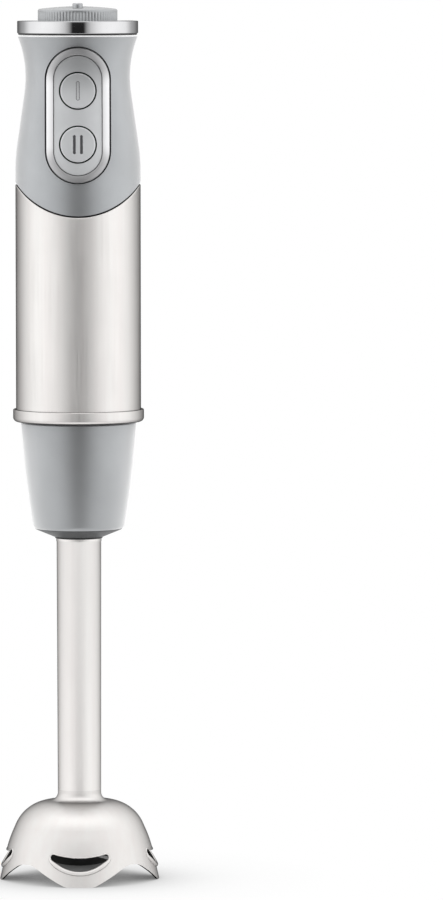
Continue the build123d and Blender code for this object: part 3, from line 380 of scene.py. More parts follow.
def add_piece(name, mesh, body, finishes, replaced=()):
    """Put a finished mesh in the scene, on its body and in place of its solid."""
    for face in mesh.faces:
        face.smooth = True
    piece = put(name, mesh, finishes)
    piece.data.set_sharp_from_angle(angle=SHARP_ANGLE)
    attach(piece, body)
    if replaced:
        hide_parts(*replaced)


def box_of(node):
    """A node's lowest and highest corners as vectors."""
    low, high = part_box(node)
    return Vector(low), Vector(high)


# Finishes


def feed(tree, made, inputs):
    """Link a node's inputs to other sockets, or set them to plain values."""
    for key, value in inputs.items():
        if isinstance(value, bpy.types.NodeSocket):
            tree.links.new(value, made.inputs[key])
        else:
            made.inputs[key].default_value = value


def add_node(tree, kind, inputs=(), **settings):
    """A new shader node with its settings and its inputs."""
    made = tree.nodes.new(f"ShaderNode{kind}")
    for name, value in settings.items():
        setattr(made, name, value)
    feed(tree, made, dict(inputs))
    return made


def maths(tree, operation, *values):
    """The result of a sum whose values are sockets or numbers."""
    return add_node(tree, "Math", enumerate(values), operation=operation).outputs[0]


def mixed(tree, share, first, second, **settings):
    """Two colours, mixed by a share."""
    return add_node(tree, "Mix", {0: share, 6: first, 7: second}, data_type="RGBA", **settings).outputs[2]


def ramp(tree, place, levels):
    """Grey levels along a socket's value, at places from 0 to 1."""
    made = add_node(tree, "ValToRGB", {"Fac": place})
    stops = made.color_ramp.elements
    stops.remove(stops[1])
    for k, (where, level) in enumerate(levels):
        stop = stops[0] if k == 0 else stops.new(where)
        stop.position = where
        stop.color = (level, level, level, 1.0)
    return made.outputs["Color"]


def noise(tree, scale, stretch=(1.0, 1.0, 1.0), detail=3.0):
    """Noise in the piece's own coordinates, with a scale in cells per metre."""
    where = add_node(tree, "TexCoord").outputs["Object"]
    fit = add_node(tree, "Mapping", {"Vector": where, "Scale": stretch}).outputs["Vector"]
    return add_node(tree, "TexNoise", {"Vector": fit, "Scale": scale, "Detail": detail}).outputs["Fac"]


def spread(tree, source, low, high):
    """Map a noise's middle range onto low..high."""
    limits = {"From Min": 0.3, "From Max": 0.7, "To Min": low, "To Max": high}
    return add_node(tree, "MapRange", {"Value": source, **limits}).outputs["Result"]


def shade(tree, source, base, change):
    """A colour that the noise makes lighter and darker by a share of itself."""
    dark = [min(1.0, c * (1.0 - change)) for c in base] + [1.0]
    light = [min(1.0, c * (1.0 + change)) for c in base] + [1.0]
    return mixed(tree, spread(tree, source, 0.0, 1.0), dark, light)


def away_from(tree, level, start, end):
    """0 to 1 as the height over or under a level grows from start to end."""
    where = add_node(tree, "TexCoord").outputs["Object"]
    parts = add_node(tree, "SeparateXYZ", {"Vector": where})
    gap = maths(tree, "ABSOLUTE", maths(tree, "SUBTRACT", parts.outputs["Z"], level))
    limits = {"From Min": start, "From Max": end}
    ranged = add_node(tree, "MapRange", {"Value": gap, **limits}, interpolation_type="SMOOTHSTEP")
    return ranged.outputs["Result"]


def paint_shade_by_height(tree, level, start, end, share):
    """Paint shade into a finish: take its base colour down to a share of itself away from a level."""
    base = tree.nodes["Principled BSDF"].inputs["Base Color"]
    place = away_from(tree, level, start, end)
    less = (share, share, share, 1.0)
    tree.links.new(mixed(tree, place, base.links[0].from_socket, less, blend_type="MULTIPLY"), base)


def inward(tree):
    """1 where a turned piece's surface faces its upright axis, 0 elsewhere."""
    where = add_node(tree, "TexCoord")
    level_part = {0: where.outputs["Object"], 1: (1.0, 1.0, 0.0)}
    flat = add_node(tree, "VectorMath", level_part, operation="MULTIPLY")
    sides = {0: flat.outputs["Vector"], 1: where.outputs["Normal"]}
    facing = add_node(tree, "VectorMath", sides, operation="DOT_PRODUCT")
    return maths(tree, "LESS_THAN", facing.outputs["Value"], -0.001)


def bump(tree, source, strength, height):
    """Relief from a noise, with its height in metres."""
    relief = add_node(tree, "Bump", {"Height": source, "Strength": strength, "Distance": height})
    return relief.outputs["Normal"]


def surface(tree, inputs, edge, slant_shade):
    """Set the surface shader: its inputs, its mirror tint at a slant and a grey coat tint that darkens it as
    it slants from view, a painted shade at its silhouettes.
    """
    shader = tree.nodes["Principled BSDF"]
    feed(tree, shader, {"Specular Tint": (edge, edge, edge, 1.0), **inputs})
    # A coat with almost no reflection of its own, whose grey tint paints shade where the surface slants away
    if slant_shade < 1.0:
        tint = (slant_shade, slant_shade, slant_shade, 1.0)
        coat = {"Coat Weight": 1.0, "Coat Roughness": 0.3, "Coat IOR": 1.005, "Coat Tint": tint}
        feed(tree, shader, coat)


def moulded(
    tree, base, roughness, metallic=0.0, grain=4200.0, relief=0.06, sheen=0.0, coat=0.0, edge=1.0, slant_shade=1.0
):
    """Moulded or lacquered plastic with a fine grain."""
    cloud = noise(tree, 60.0, detail=4.0)
    fine = noise(tree, grain, detail=2.0)
    inputs = {
        "Base Color": shade(tree, cloud, base, 0.05),
        "Roughness": spread(tree, fine, roughness - 0.05, roughness + 0.05),
        "Metallic": metallic,
        "Sheen Weight": sheen,
        "Sheen Roughness": 0.6,
        "Coat Weight": coat,
        "Coat Roughness": 0.35,
        "Normal": bump(tree, fine, relief, 0.08 * MM),
    }
    surface(tree, inputs, edge, slant_shade)


def brushed(
    tree, base, roughness, lines=(1.0, 1.0, 0.012), anisotropy=0.55, inside=None, edge=0.8, slant_shade=1.0
):
    """Brushed metal whose fine lines run up the part, and whose inside can be painted near-black as shade."""
    line = noise(tree, 2600.0, lines, detail=4.0)
    broad = noise(tree, 260.0, lines, detail=3.0)
    smear = noise(tree, 35.0, detail=3.0)
    tint = shade(tree, broad, base, 0.02)
    if inside:
        tint = mixed(tree, inward(tree), tint, [*inside, 1.0])
    grain = spread(tree, line, roughness - 0.06, roughness + 0.06)
    inputs = {
        "Base Color": tint,
        "Roughness": maths(tree, "ADD", grain, spread(tree, smear, -0.03, 0.03)),
        "Metallic": 1.0,
        "Anisotropic": anisotropy,
        "Tangent": add_node(tree, "Tangent", direction_type="RADIAL", axis="Z").outputs["Tangent"],
        "Normal": bump(tree, line, 0.05, 0.02 * MM),
    }
    surface(tree, inputs, edge, slant_shade)


def polished(tree, base, roughness, edge=0.5, slant_shade=1.0):
    """Polished plate with faint wiping marks."""
    smear = noise(tree, 90.0, (1.0, 1.0, 3.0), detail=5.0)
    hair = noise(tree, 1800.0, (1.0, 1.0, 0.2), detail=2.0)
    inputs = {
        "Base Color": shade(tree, smear, base, 0.02),
        "Roughness": spread(tree, smear, roughness - 0.03, roughness + 0.03),
        "Metallic": 1.0,
        "Normal": bump(tree, hair, 0.015, 0.01 * MM),
    }
    surface(tree, inputs, edge, slant_shade)


def finish_table(colours):
    """Each finish by name: how it is made, its colour, its roughness and its other settings."""
    lighter_grey = [1.15 * c for c in colours.grey]
    shaded_grey = [0.3 * c for c in colours.grey]
    # Near-black: the dull steel parts' own colour, and the painted shade on inner faces and slot edges
    dull_and_shade = (0.1, 0.1, 0.1)
    plain = {"anisotropy": 0.0}
    even = {"lines": (0.3, 0.3, 0.3), **plain}
    wound = {"lines": (0.2, 0.2, 1.0), **plain}
    stacked = {"lines": (0.05, 0.05, 1.0), **plain}
    # The skins' inner faces are painted near-black: painted shade inside the sleeve, the base ring and the
    # tube
    skin = {"inside": dull_and_shade, "edge": 0.0}
    return {
        "grey_plastic": (moulded, colours.grey, 0.39, {"metallic": 0.85, "sheen": 1.0, "coat": 0.8}),
        "grip_plastic": (moulded, lighter_grey, 0.39, {"metallic": 0.85, "sheen": 0.9, "edge": 0.45}),
        # A darker copy of the grey for the collar's underside: painted shade
        "collar_underside_shade": (moulded, shaded_grey, 0.5, {"metallic": 0.5}),
        "mark_ink": (moulded, (0.06, 0.06, 0.065), 0.5, {}),
        # Near-white finish of the painted highlight on the grip's top edge
        "painted_edge_highlight": (moulded, (0.9, 0.9, 0.9), 0.4, {}),
        "panel_plastic": (moulded, colours.panel, 0.45, {"metallic": 0.45}),
        "dial_plastic": (moulded, colours.dial, 0.36, {"metallic": 0.75, "sheen": 0.3, "slant_shade": 0.92}),
        "cap_plastic": (moulded, colours.cap, 0.45, {"metallic": 0.3}),
        "black_plastic": (moulded, colours.black, 0.42, {"relief": 0.1}),
        "rubber": (moulded, colours.rubber, 0.62, {"grain": 2600.0, "relief": 0.2}),
        "board": (moulded, (0.02, 0.10, 0.04), 0.35, {"grain": 1500.0}),
        "carbon": (moulded, (0.018, 0.018, 0.02), 0.5, {"grain": 3000.0}),
        "brushed_steel": (brushed, colours.steel, 0.42, {**skin, "slant_shade": 0.74}),
        "tube_steel": (brushed, colours.steel, 0.42, {**skin, "slant_shade": 0.8}),
        # The bell's inner faces are painted near-black: painted shade inside the bell
        "bell_steel": (brushed, colours.steel, 0.49, {"inside": dull_and_shade, "anisotropy": 0.45, "slant_shade": 0.74}),
        # The blade is painted dark grey: painted shade in the bell's hollow
        "blade_steel_shaded": (brushed, (0.3, 0.3, 0.3), 0.3, even),
        "bare_steel": (brushed, (0.68, 0.68, 0.69), 0.3, even),
        "dull_steel": (brushed, dull_and_shade, 0.5, {}),
        "lamination": (brushed, (0.33, 0.34, 0.35), 0.45, stacked),
        "copper": (brushed, (0.72, 0.33, 0.16), 0.34, wound),
        "bracket_metal": (brushed, (0.62, 0.62, 0.60), 0.4, plain),
        "bronze": (brushed, (0.55, 0.40, 0.22), 0.4, plain),
        "bezel": (polished, colours.chrome, 0.45, {"edge": 0.7}),
        "polished_chrome": (polished, colours.chrome, 0.06, {"slant_shade": 0.75}),
    }


# Finishes with a shade painted into their colour away from a height: that height, where it starts, where it
# ends and the share left
PAINTED_SHADE = {
    # The bezel's rim is painted darker towards both its ends: painted shade
    "bezel": (349.6 * MM, 13.0 * MM, 22.0 * MM, 0.6),
    # The button field is painted darker towards its upper end: painted shade
    "panel_plastic": (322.0 * MM, 30.0 * MM, 54.0 * MM, 0.6),
}


def finish_for(name):
    """The finish of one of the record's material slots, or of a piece with a finish of its own."""
    label = f"finish_{name}"
    if label in bpy.data.materials:
        return bpy.data.materials[label]
    known = finish_table(bpy.context.scene.stick_finishes)
    if name not in known:
        raise ValueError(f"no finish is known for {name}")
    finish = bpy.data.materials.new(label)
    finish.use_nodes = True
    maker, base, roughness, settings = known[name]
    maker(finish.node_tree, base, roughness, **settings)
    if name in PAINTED_SHADE:
        paint_shade_by_height(finish.node_tree, *PAINTED_SHADE[name])
    return finish


def refinish(node, finish):
    """Give a carried-over solid its finish."""
    data = frame["nodes"][node].data
    data.materials.clear()
    data.materials.append(finish)


# Pieces


class STICK_OT_dial(Operator):
    """Build the ribbed speed dial with its raised pointer"""

    bl_idname = "stick.dial"
    bl_label = "Speed dial"

    def execute(self, context):
        sizes = context.scene.stick_dial
        finish = finish_for("dial_plastic")
        cap_gap, skirt_round, bore_cover = 0.4 * MM, 0.4 * MM, 0.05 * MM
        low, high = box_of("speed_dial")
        radius = high.x
        under = box_of("top_cap")[1].z + cap_gap
        top = high.z - sizes.pointer_height
        edge = top - sizes.dome
        profile = [Vector((0.0, under - bore_cover)), Vector((sizes.stem_bore, under - bore_cover))]
        profile += [Vector((sizes.stem_bore, low.z)), Vector((sizes.stem_radius, low.z))]
        rim = [(sizes.stem_radius, under), (radius, under), (radius, edge), (0.0, edge)]
        profile += rounded(rim, [skirt_round, sizes.edge_round], 6)[:-1]
        flat = radius - sizes.edge_round
        dome_arc = (flat**2 + sizes.dome**2) / (2.0 * sizes.dome)
        steps = 24
        for k in range(1, steps + 1):
            reach = flat * (1.0 - k / steps)
            profile.append(Vector((reach, top - dome_arc + sqrt(dome_arc**2 - reach**2))))

        plain_foot, plain_head, fade_height = 0.3 * MM, 1.1 * MM, 0.6 * MM

        def groove(angle, reach, level):
            if reach < radius - 0.6 * sizes.edge_round or level < under + plain_foot:
                return 0.0
            fade = clamped((edge - plain_head - level) / fade_height)
            return fade * sizes.rib_depth * (1.0 - abs(sin(angle * sizes.ribs / 2.0)))

        row_height, points_per_rib = 0.5 * MM, 10
        upright = []
        for point, after in zip(profile, profile[1:]):
            upright.append(point)
            gap = (after - point).length
            if abs(after.x - point.x) < 1e-6 and point.x > 0.9 * radius:
                rows = ceil(gap / row_height)
                upright += [point.lerp(after, k / rows) for k in range(1, rows)]
        upright.append(profile[-1])
        mesh = lathe(upright, sizes.ribs * points_per_rib, ripple=groove)
        add_piece("ribbed_dial", mesh, "dial", [finish], ["speed_dial"])

        half = sizes.pointer_width / 2.0
        straight = sizes.pointer_length / 2.0 - half
        levels = [(0.0, edge)]
        round_steps = 6
        for k in range(round_steps + 1):
            angle = pi / 2.0 * k / round_steps
            inset = sizes.pointer_round * (1.0 - cos(angle))
            levels.append((inset, high.z - sizes.pointer_round * (1.0 - sin(angle))))
        rings = [[(x, y, z) for x, y in stadium(half - inset, straight)] for inset, z in levels]
        rings.append([(0.0, 0.0, high.z)])
        add_piece("dial_pointer", stack(rings), "dial", [finish])
        return {"FINISHED"}


class STICK_OT_rings(Operator):
    """Build the chrome ring under the dial, a black ring under it as a painted shadow line, and the flared
    ring at the foot of the sleeve
    """

    bl_idname = "stick.rings"
    bl_label = "Rings and their seals"

    def execute(self, context):
        sizes = context.scene.stick_body
        chrome = finish_for("polished_chrome")
        steel = finish_for("brushed_steel")
        rubber = finish_for("rubber")

        low, high = box_of("top_ring")
        foot = low.z + sizes.shadow_line_height
        inner, outer = high.x - sizes.ring_wall, high.x
        start = ((inner + outer) / 2.0, foot)
        loop = [start, (outer, foot), (outer, high.z), (inner, high.z), (inner, foot), start]
        ring = rounded(loop, [sizes.ring_round] * 4, 6)[:-1]
        mesh = lathe(ring, closed=True)
        add_piece("chrome_ring", mesh, "handle", [chrome], ["top_ring"])
        # A black ring where the shadow gap under the chrome ring falls: painted shade
        shadow_line_inset, shadow_line_overlap = 0.45 * MM, 0.1 * MM
        rest, head = outer - shadow_line_inset, foot + shadow_line_overlap
        shadow_band = [(inner, low.z), (rest, low.z), (rest, head), (inner, head)]
        add_piece("ring_shadow_line", lathe(shadow_band, closed=True), "handle", [rubber])

        low, high = box_of("base_ring")
        bore, outer = sizes.base_bore, high.x
        start = ((bore + outer) / 2.0, high.z)
        loop = [start, (bore, high.z), (bore, low.z), (outer, low.z), (outer, high.z), start]
        head_round = 0.45 * MM
        ring = rounded(loop, [0.0, 0.0, sizes.base_round, head_round], 14)[:-1]
        mesh = lathe(ring, closed=True)
        # The flared ring's lowest band takes the black rubber finish: painted shade for the shadow line over
        # the collar
        for face in mesh.faces:
            if face.calc_center_median().z < low.z + sizes.shadow_line_height:
                face.material_index = 1
        add_piece("flared_base", mesh, "handle", [steel, rubber], ["base_ring"])
        return {"FINISHED"}


class STICK_OT_sleeve(Operator):
    """Build the brushed steel sleeve with its curved, rolled upper edge"""

    bl_idname = "stick.sleeve"
    bl_label = "Steel sleeve"

    def execute(self, context):
        sizes = context.scene.stick_body
        steel = finish_for("brushed_steel")
        low, high = box_of("steel_sleeve")
        outer = high.x
        inner = outer - sizes.sleeve_wall
        roll = sizes.sleeve_wall / 2.0
        segments, rows, roll_steps = 288, 24, 8
        shares = [0.0, 0.01] + [k / rows for k in range(1, rows)] + [0.99]
        crest = [pi * k / roll_steps for k in range(roll_steps + 1)]
        rings = [[] for _ in range(len(shares) + len(crest) + 2)]
        for k in range(segments):
            angle = TURN * k / segments
            across = outer * sin(angle)
            edge = sizes.scoop_level - sqrt(sizes.scoop_radius**2 - across**2) - roll
            column = [(outer, low.z + (edge - low.z) * share) for share in shares]
            column += [(outer - roll + roll * cos(turn), edge + roll * sin(turn)) for turn in crest]
            column += [(inner, (edge + low.z) / 2.0), (inner, low.z)]
            for ring, (reach, level) in zip(rings, column):
                ring.append((reach * sin(angle), -reach * cos(angle), level))
        mesh = stack(rings, closed=True)
        add_piece("steel_skin", mesh, "handle", [steel], ["steel_sleeve"])
        return {"FINISHED"}


class STICK_OT_grip(Operator):
    """Finish the grip with a pale ring painted along its top edge as a highlight, and finish the top cap and
    the cord gland
    """

    bl_idname = "stick.grip"
    bl_label = "Grip, cap and gland"

    def execute(self, context):
        refinish("grip_housing", finish_for("grip_plastic"))
        # A pale ring laid on the grip's rounded top edge: a painted highlight
        edge_round, outside, inside = 0.9 * MM, 0.96 * MM, 0.8 * MM
        hub = box_of("top_ring")[0].z - edge_round
        reach = grip_radius(hub) - edge_round
        arc = [radians(angle) for angle in range(6, 67, 6)]
        line = [(reach + outside * cos(a), hub + outside * sin(a)) for a in arc]
        line += [(reach + inside * cos(a), hub + inside * sin(a)) for a in reversed(arc)]
        pale = finish_for("painted_edge_highlight")
        add_piece("grip_edge_highlight", lathe(line, closed=True), "handle", [pale])
        refinish("top_cap", finish_for("cap_plastic"))
        refinish("cord_gland", finish_for("rubber"))
        return {"FINISHED"}


class STICK_OT_keys(Operator):
    """Build the chrome bezel and the two buttons, and finish the panel between them"""

    bl_idname = "stick.keys"
    bl_label = "Bezel and buttons"

    def execute(self, context):
        sizes = context.scene.stick_keys
        chrome = finish_for("bezel")
        ink = finish_for("mark_ink")
        grey = finish_for("panel_plastic")
        refinish("button_panel", grey)

        def front(across, level, lift):
            reach = grip_radius(level) + sizes.crown_shift + lift
            return (across, sizes.crown_shift - sqrt(reach**2 - across**2), level)

        half = sizes.bezel_width / 2.0
        straight = sizes.bezel_height / 2.0 - half
        crest = sizes.bezel_lift
        bow, crown_round, edge_tilt = 0.2 * MM, 12.0 * MM, 0.8
        section = [
            (0.0, -sizes.bezel_depth),
            (0.0, crest),
            (sizes.bezel_border / 2.0, crest + bow),
            (sizes.bezel_border, crest),
            (sizes.bezel_border, -sizes.bezel_depth),
        ]
        rings = []
        for inset, lift in rounded(section, [sizes.bezel_round, crown_round, sizes.bezel_round], 8):
            loop = stadium(half - inset, straight)
            rings.append([front(x, sizes.centre_level + z, lift) for x, z in loop])
        mesh = stack(rings, closed=True)
        for face in mesh.faces:
            if abs(face.normal.y) < edge_tilt:
                face.material_index = 1
        bright = finish_for("polished_chrome")
        add_piece("bezel_trim", mesh, "handle", [chrome, bright], ["button_bezel"])

        for key, level, bars in (("run", sizes.run_level, 1), ("boost", sizes.boost_level, 2)):
            mesh = self.button(sizes, front, level, bars)
            add_piece(f"{key}_cap", mesh, f"{key}_key", [grey, ink], [f"{key}_button"])
        return {"FINISHED"}

    def button(self, sizes, front, level, bars):
        """A round cap with a rounded edge, a shallow dish and sunk upright bars."""
        segments, round_steps = 160, 6
        soft_edge, mesh_step, skirt_depth = 0.32 * MM, 0.14 * MM, 4.0 * MM
        flat = sizes.button_radius - sizes.button_round
        # The bars of a double mark are thinner
        half = sizes.mark_width / (2.0 if bars == 1 else 2.8)
        reach = sizes.mark_length / 2.0 - half
        places = [(k - (bars - 1) / 2.0) * sizes.mark_pitch for k in range(bars)]

        def cut(across, up):
            away = min(hypot(across - place, max(0.0, abs(up) - reach)) for place in places)
            return clamped(0.5 - (away - half) / soft_edge)

        def lift(across, up, radius):
            dish = sizes.button_dish * max(0.0, 1.0 - (radius / flat) ** 2)
            return sizes.button_lift - dish - sizes.mark_depth * cut(across, up)

        def ring(radius, drop=None):
            points = []
            for k in range(segments):
                x, z = radius * sin(TURN * k / segments), radius * cos(TURN * k / segments)
                height = lift(x, z, radius) if drop is None else sizes.button_lift + drop
                points.append(front(x, level + z, height))
            return points

        count = ceil(flat / mesh_step)
        rings = [[front(0.0, level, lift(0.0, 0.0, 0.0))]]
        rings += [ring(flat * k / count) for k in range(1, count + 1)]
        for k in range(1, round_steps + 1):
            angle = pi / 2.0 * k / round_steps
            drop = sizes.button_round * (cos(angle) - 1.0)
            rings.append(ring(flat + sizes.button_round * sin(angle), drop))
        rings.append(ring(sizes.button_radius, -skirt_depth))
        rings.append([front(0.0, level, -skirt_depth)])
        mesh = stack(rings)
        # The two bars are inked all over, the single bar only along its edge
        to_front, shallowest, deepest = -0.2, 0.05, 0.97
        for face in mesh.faces:
            middle = face.calc_center_median()
            depth = cut(middle.x, middle.z - level)
            inked = depth > shallowest and (bars > 1 or depth < deepest)
            if inked and face.normal.y < to_front:
                face.material_index = 1
        return mesh


class STICK_OT_collar(Operator):
    """Build the grey collar, a black ring in its mouth as a painted shadow line, and the steel tube that
    comes out of it
    """

    bl_idname = "stick.collar"
    bl_label = "Collar and tube"

    def execute(self, context):
        sizes = context.scene.stick_body
        grey = finish_for("grey_plastic")
        steel = finish_for("tube_steel")
        low, high = box_of("collar")
        mouth_gap, mouth_depth, mouth_round = 0.7 * MM, 1.4 * MM, 0.3 * MM
        lip_round, floor_rise, spacing, underside = 0.6 * MM, 2.0 * MM, 0.3 * MM, -0.6
        corner = low.z + sizes.collar_cone
        recess, roof = sizes.collar_mouth + mouth_gap, low.z + mouth_depth
        flank = bowed((sizes.collar_foot, corner), (high.x, high.z), sizes.collar_bulge)
        under = [(sizes.collar_mouth, roof), (recess, roof), (recess, low.z)]
        outer = rounded(under + [flank[0], flank[1]], [0.0, mouth_round, sizes.collar_round], 12)[:-1]
        start_level = outer[-1].y
        outer += [point for point in flank[1:-1] if point.y > start_level + spacing]
        lip = [flank[-2], flank[-1], (high.x - sizes.collar_wall, high.z)]
        outer += rounded(lip, [lip_round], 6)[1:]
        floor = corner + floor_rise
        inside = [(point.x - sizes.collar_wall, point.y) for point in reversed(flank) if point.y > floor]
        outer += [Vector(point) for point in inside[1:]]
        outer += [Vector((inside[-1][0], floor)), Vector((sizes.collar_mouth, floor))]
        mesh = lathe(outer, closed=True)
        # The faces under the collar's corner take the darker copy of its grey: painted shade
        for face in mesh.faces:
            if face.calc_center_median().z < corner and face.normal.z < underside:
                face.material_index = 1
        dark = finish_for("collar_underside_shade")
        add_piece("collar_cup", mesh, "foot", [grey, dark], ["collar"])
        rubber = finish_for("rubber")
        # A black ring in the collar's mouth, where the tube leaves it: painted shade
        shadow_line_in, shadow_line_out = sizes.collar_mouth - 0.1 * MM, sizes.collar_mouth + 0.55 * MM
        shadow_line_low, shadow_line_high = low.z - 0.5 * MM, low.z + 0.6 * MM
        shadow_band = [(shadow_line_in, shadow_line_low), (shadow_line_out, shadow_line_low), (shadow_line_out, shadow_line_high), (shadow_line_in, shadow_line_high)]
        add_piece("mouth_shadow_line", lathe(shadow_band, segments=192, closed=True), "foot", [rubber])

        foot, head = box_of("shaft_tube")
        bead = 0.16 * MM
        bead_foot, bead_low, bead_high, bead_head = (low.z - drop * MM for drop in (2.2, 1.9, 0.5, 0.2))
        taper = (head.x - sizes.tube_foot) / (head.z - foot.z)
        reach = sizes.tube_foot + taper * (bead_foot - foot.z)
        profile = [
            (sizes.tube_foot - sizes.tube_wall, foot.z),
            (sizes.tube_foot, foot.z),
            (reach, bead_foot),
            (reach + bead, bead_low),
            (reach + bead, bead_high),
            (reach, bead_head),
            (head.x, head.z),
            (head.x - sizes.tube_wall, head.z),
        ]
        mesh = lathe(profile, segments=192, closed=True)
        add_piece("steel_tube", mesh, "foot", [steel], ["shaft_tube"])
        return {"FINISHED"}


class STICK_OT_bell(Operator):
    """Finish the bell and the blade, and give each slot its rolled lip and its turned-up edge"""

    bl_idname = "stick.bell"
    bl_label = "Bell and its slots"

    def execute(self, context):
        sizes = context.scene.stick_bell
        steel = finish_for("bell_steel")
        dull_and_shade = finish_for("dull_steel")
        refinish("bell_guard", steel)
        refinish("blade", finish_for("blade_steel_shaded"))
        outline = bell_outline()
        loop = self.slot_loop(sizes)
        for name, turn in (("front", 0.0), ("right", 0.25), ("back", 0.5), ("left", 0.75)):
            rings = self.lip(sizes, outline, loop, TURN * turn)
            mesh = stack(rings, closed=True)
            add_piece(f"slot_lip_{name}", mesh, "foot", [steel])
            # Each slot's turned-up edge takes the near-black finish: painted shade inside the slot
            mesh = stack(self.hem(sizes, outline, loop, TURN * turn))
            add_piece(f"slot_hem_{name}", mesh, "foot", [dull_and_shade])
        return {"FINISHED"}

    def slot_loop(self, sizes):
        """The slot's edge as (across, height) points, in a closed loop."""
        half, corner = sizes.slot_half, sizes.slot_corner
        shoulder = sizes.slot_top + sizes.slot_rise
        sag = shoulder - sizes.slot_end - sizes.slot_bottom
        top_arc = (half**2 + sizes.slot_rise**2) / (2.0 * sizes.slot_rise)
        foot_arc = (half**2 + sag**2) / (2.0 * sag)
        top_hub = Vector((0.0, sizes.slot_top + top_arc))
        foot_hub = Vector((0.0, sizes.slot_bottom + foot_arc))
        inset = half - corner
        high = Vector((inset, top_hub.y - sqrt((top_arc + corner) ** 2 - inset**2)))
        low = Vector((inset, foot_hub.y - sqrt((foot_arc - corner) ** 2 - inset**2)))
        lean = atan2(high.x, top_hub.y - high.y)
        dip = atan2(low.x, foot_hub.y - low.y)

        def arc(hub, radius, start, end, steps):
            angles = [start + (end - start) * k / steps for k in range(steps + 1)]
            return [hub + Vector((sin(a), -cos(a))) * radius for a in angles]

        right = arc(foot_hub, foot_arc, 0.0, dip, 20)[:-1]
        right += arc(low, corner, dip, pi / 2.0, 8)
        right += arc(high, corner, pi / 2.0, pi + lean, 10)
        right += arc(top_hub, top_arc, lean, 0.0, 20)[1:]
        return right[:-1] + [Vector((-point.x, point.y)) for point in reversed(right[1:])]

    def lip(self, sizes, outline, loop, turn):
        """Rings of a round lip that follows the slot's edge on the bell's outer face."""
        swing = Matrix.Rotation(turn, 3, "Z")
        spine, outward = [], []
        step, sides = 0.05 * MM, 16
        fade_height = 0.5 * (sizes.slot_top - sizes.slot_bottom)
        for across, level in loop:
            reach = level_radius(outline, level)
            slope = (level_radius(outline, level + step) - reach) / step
            depth = -sqrt(reach**2 - across**2)
            spine.append(Vector((across, depth, level)))
            outward.append(Vector((across / reach, depth / reach, -slope)).normalized())
        columns = []
        count = len(spine)
        for k in range(count):
            along = (spine[(k + 1) % count] - spine[k - 1]).normalized()
            aside = along.cross(outward[k]).normalized()
            middle = spine[k] - outward[k] * sizes.lip_sink
            low = clamped((sizes.slot_top - spine[k].z) / fade_height)
            radius = sizes.lip_edge + (sizes.lip_radius - sizes.lip_edge) * low
            columns.append([
                swing @ (middle + (outward[k] * cos(a) + aside * sin(a)) * radius)
                for a in (TURN * j / sides for j in range(sides))
            ])
        return columns

    def hem(self, sizes, outline, loop, turn):
        """Rings of the edge under a slot, turned up inside the bell and highest at its middle."""
        swing = Matrix.Rotation(turn, 3, "Z")
        reach = sizes.slot_half - sizes.slot_corner
        under = sorted((p for p in loop if p.y < sizes.slot_top and abs(p.x) <= reach), key=lambda p: p.x)
        overlap, least_share, bite = 0.6 * MM, 0.08, 0.6 * sizes.bell_wall
        wall = sizes.hem_wall
        columns = []
        for across, level in under:
            share = max(least_share, 1.0 - (across / sizes.slot_half) ** 2)
            low = level - overlap
            high = level + sizes.hem_height * share
            foot = level_radius(outline, low) - bite
            head = level_radius(outline, level) - sizes.bell_wall - sizes.hem_reach * share
            corners = ((foot, low), (head, high), (head - wall, high), (foot - wall, low))
            columns.append([
                swing @ Vector((across, -sqrt(radius**2 - across**2), height)) for radius, height in corners
            ])
        ends = [[sum(columns[k], Vector()) / 4.0] for k in (0, -1)]
        return [ends[0], *columns, ends[1]]


class STICK_OT_inside(Operator):
    """Finish every carried-over solid that has no finish of its own yet"""

    bl_idname = "stick.inside"
    bl_label = "Inner pieces"

    def execute(self, context):
        for node, piece in frame["nodes"].items():
            if piece.hide_render:
                continue
            name = piece.data.materials[0].name.split(".")[0]
            if not name.startswith("finish_"):
                refinish(node, finish_for(name))
        return {"FINISHED"}


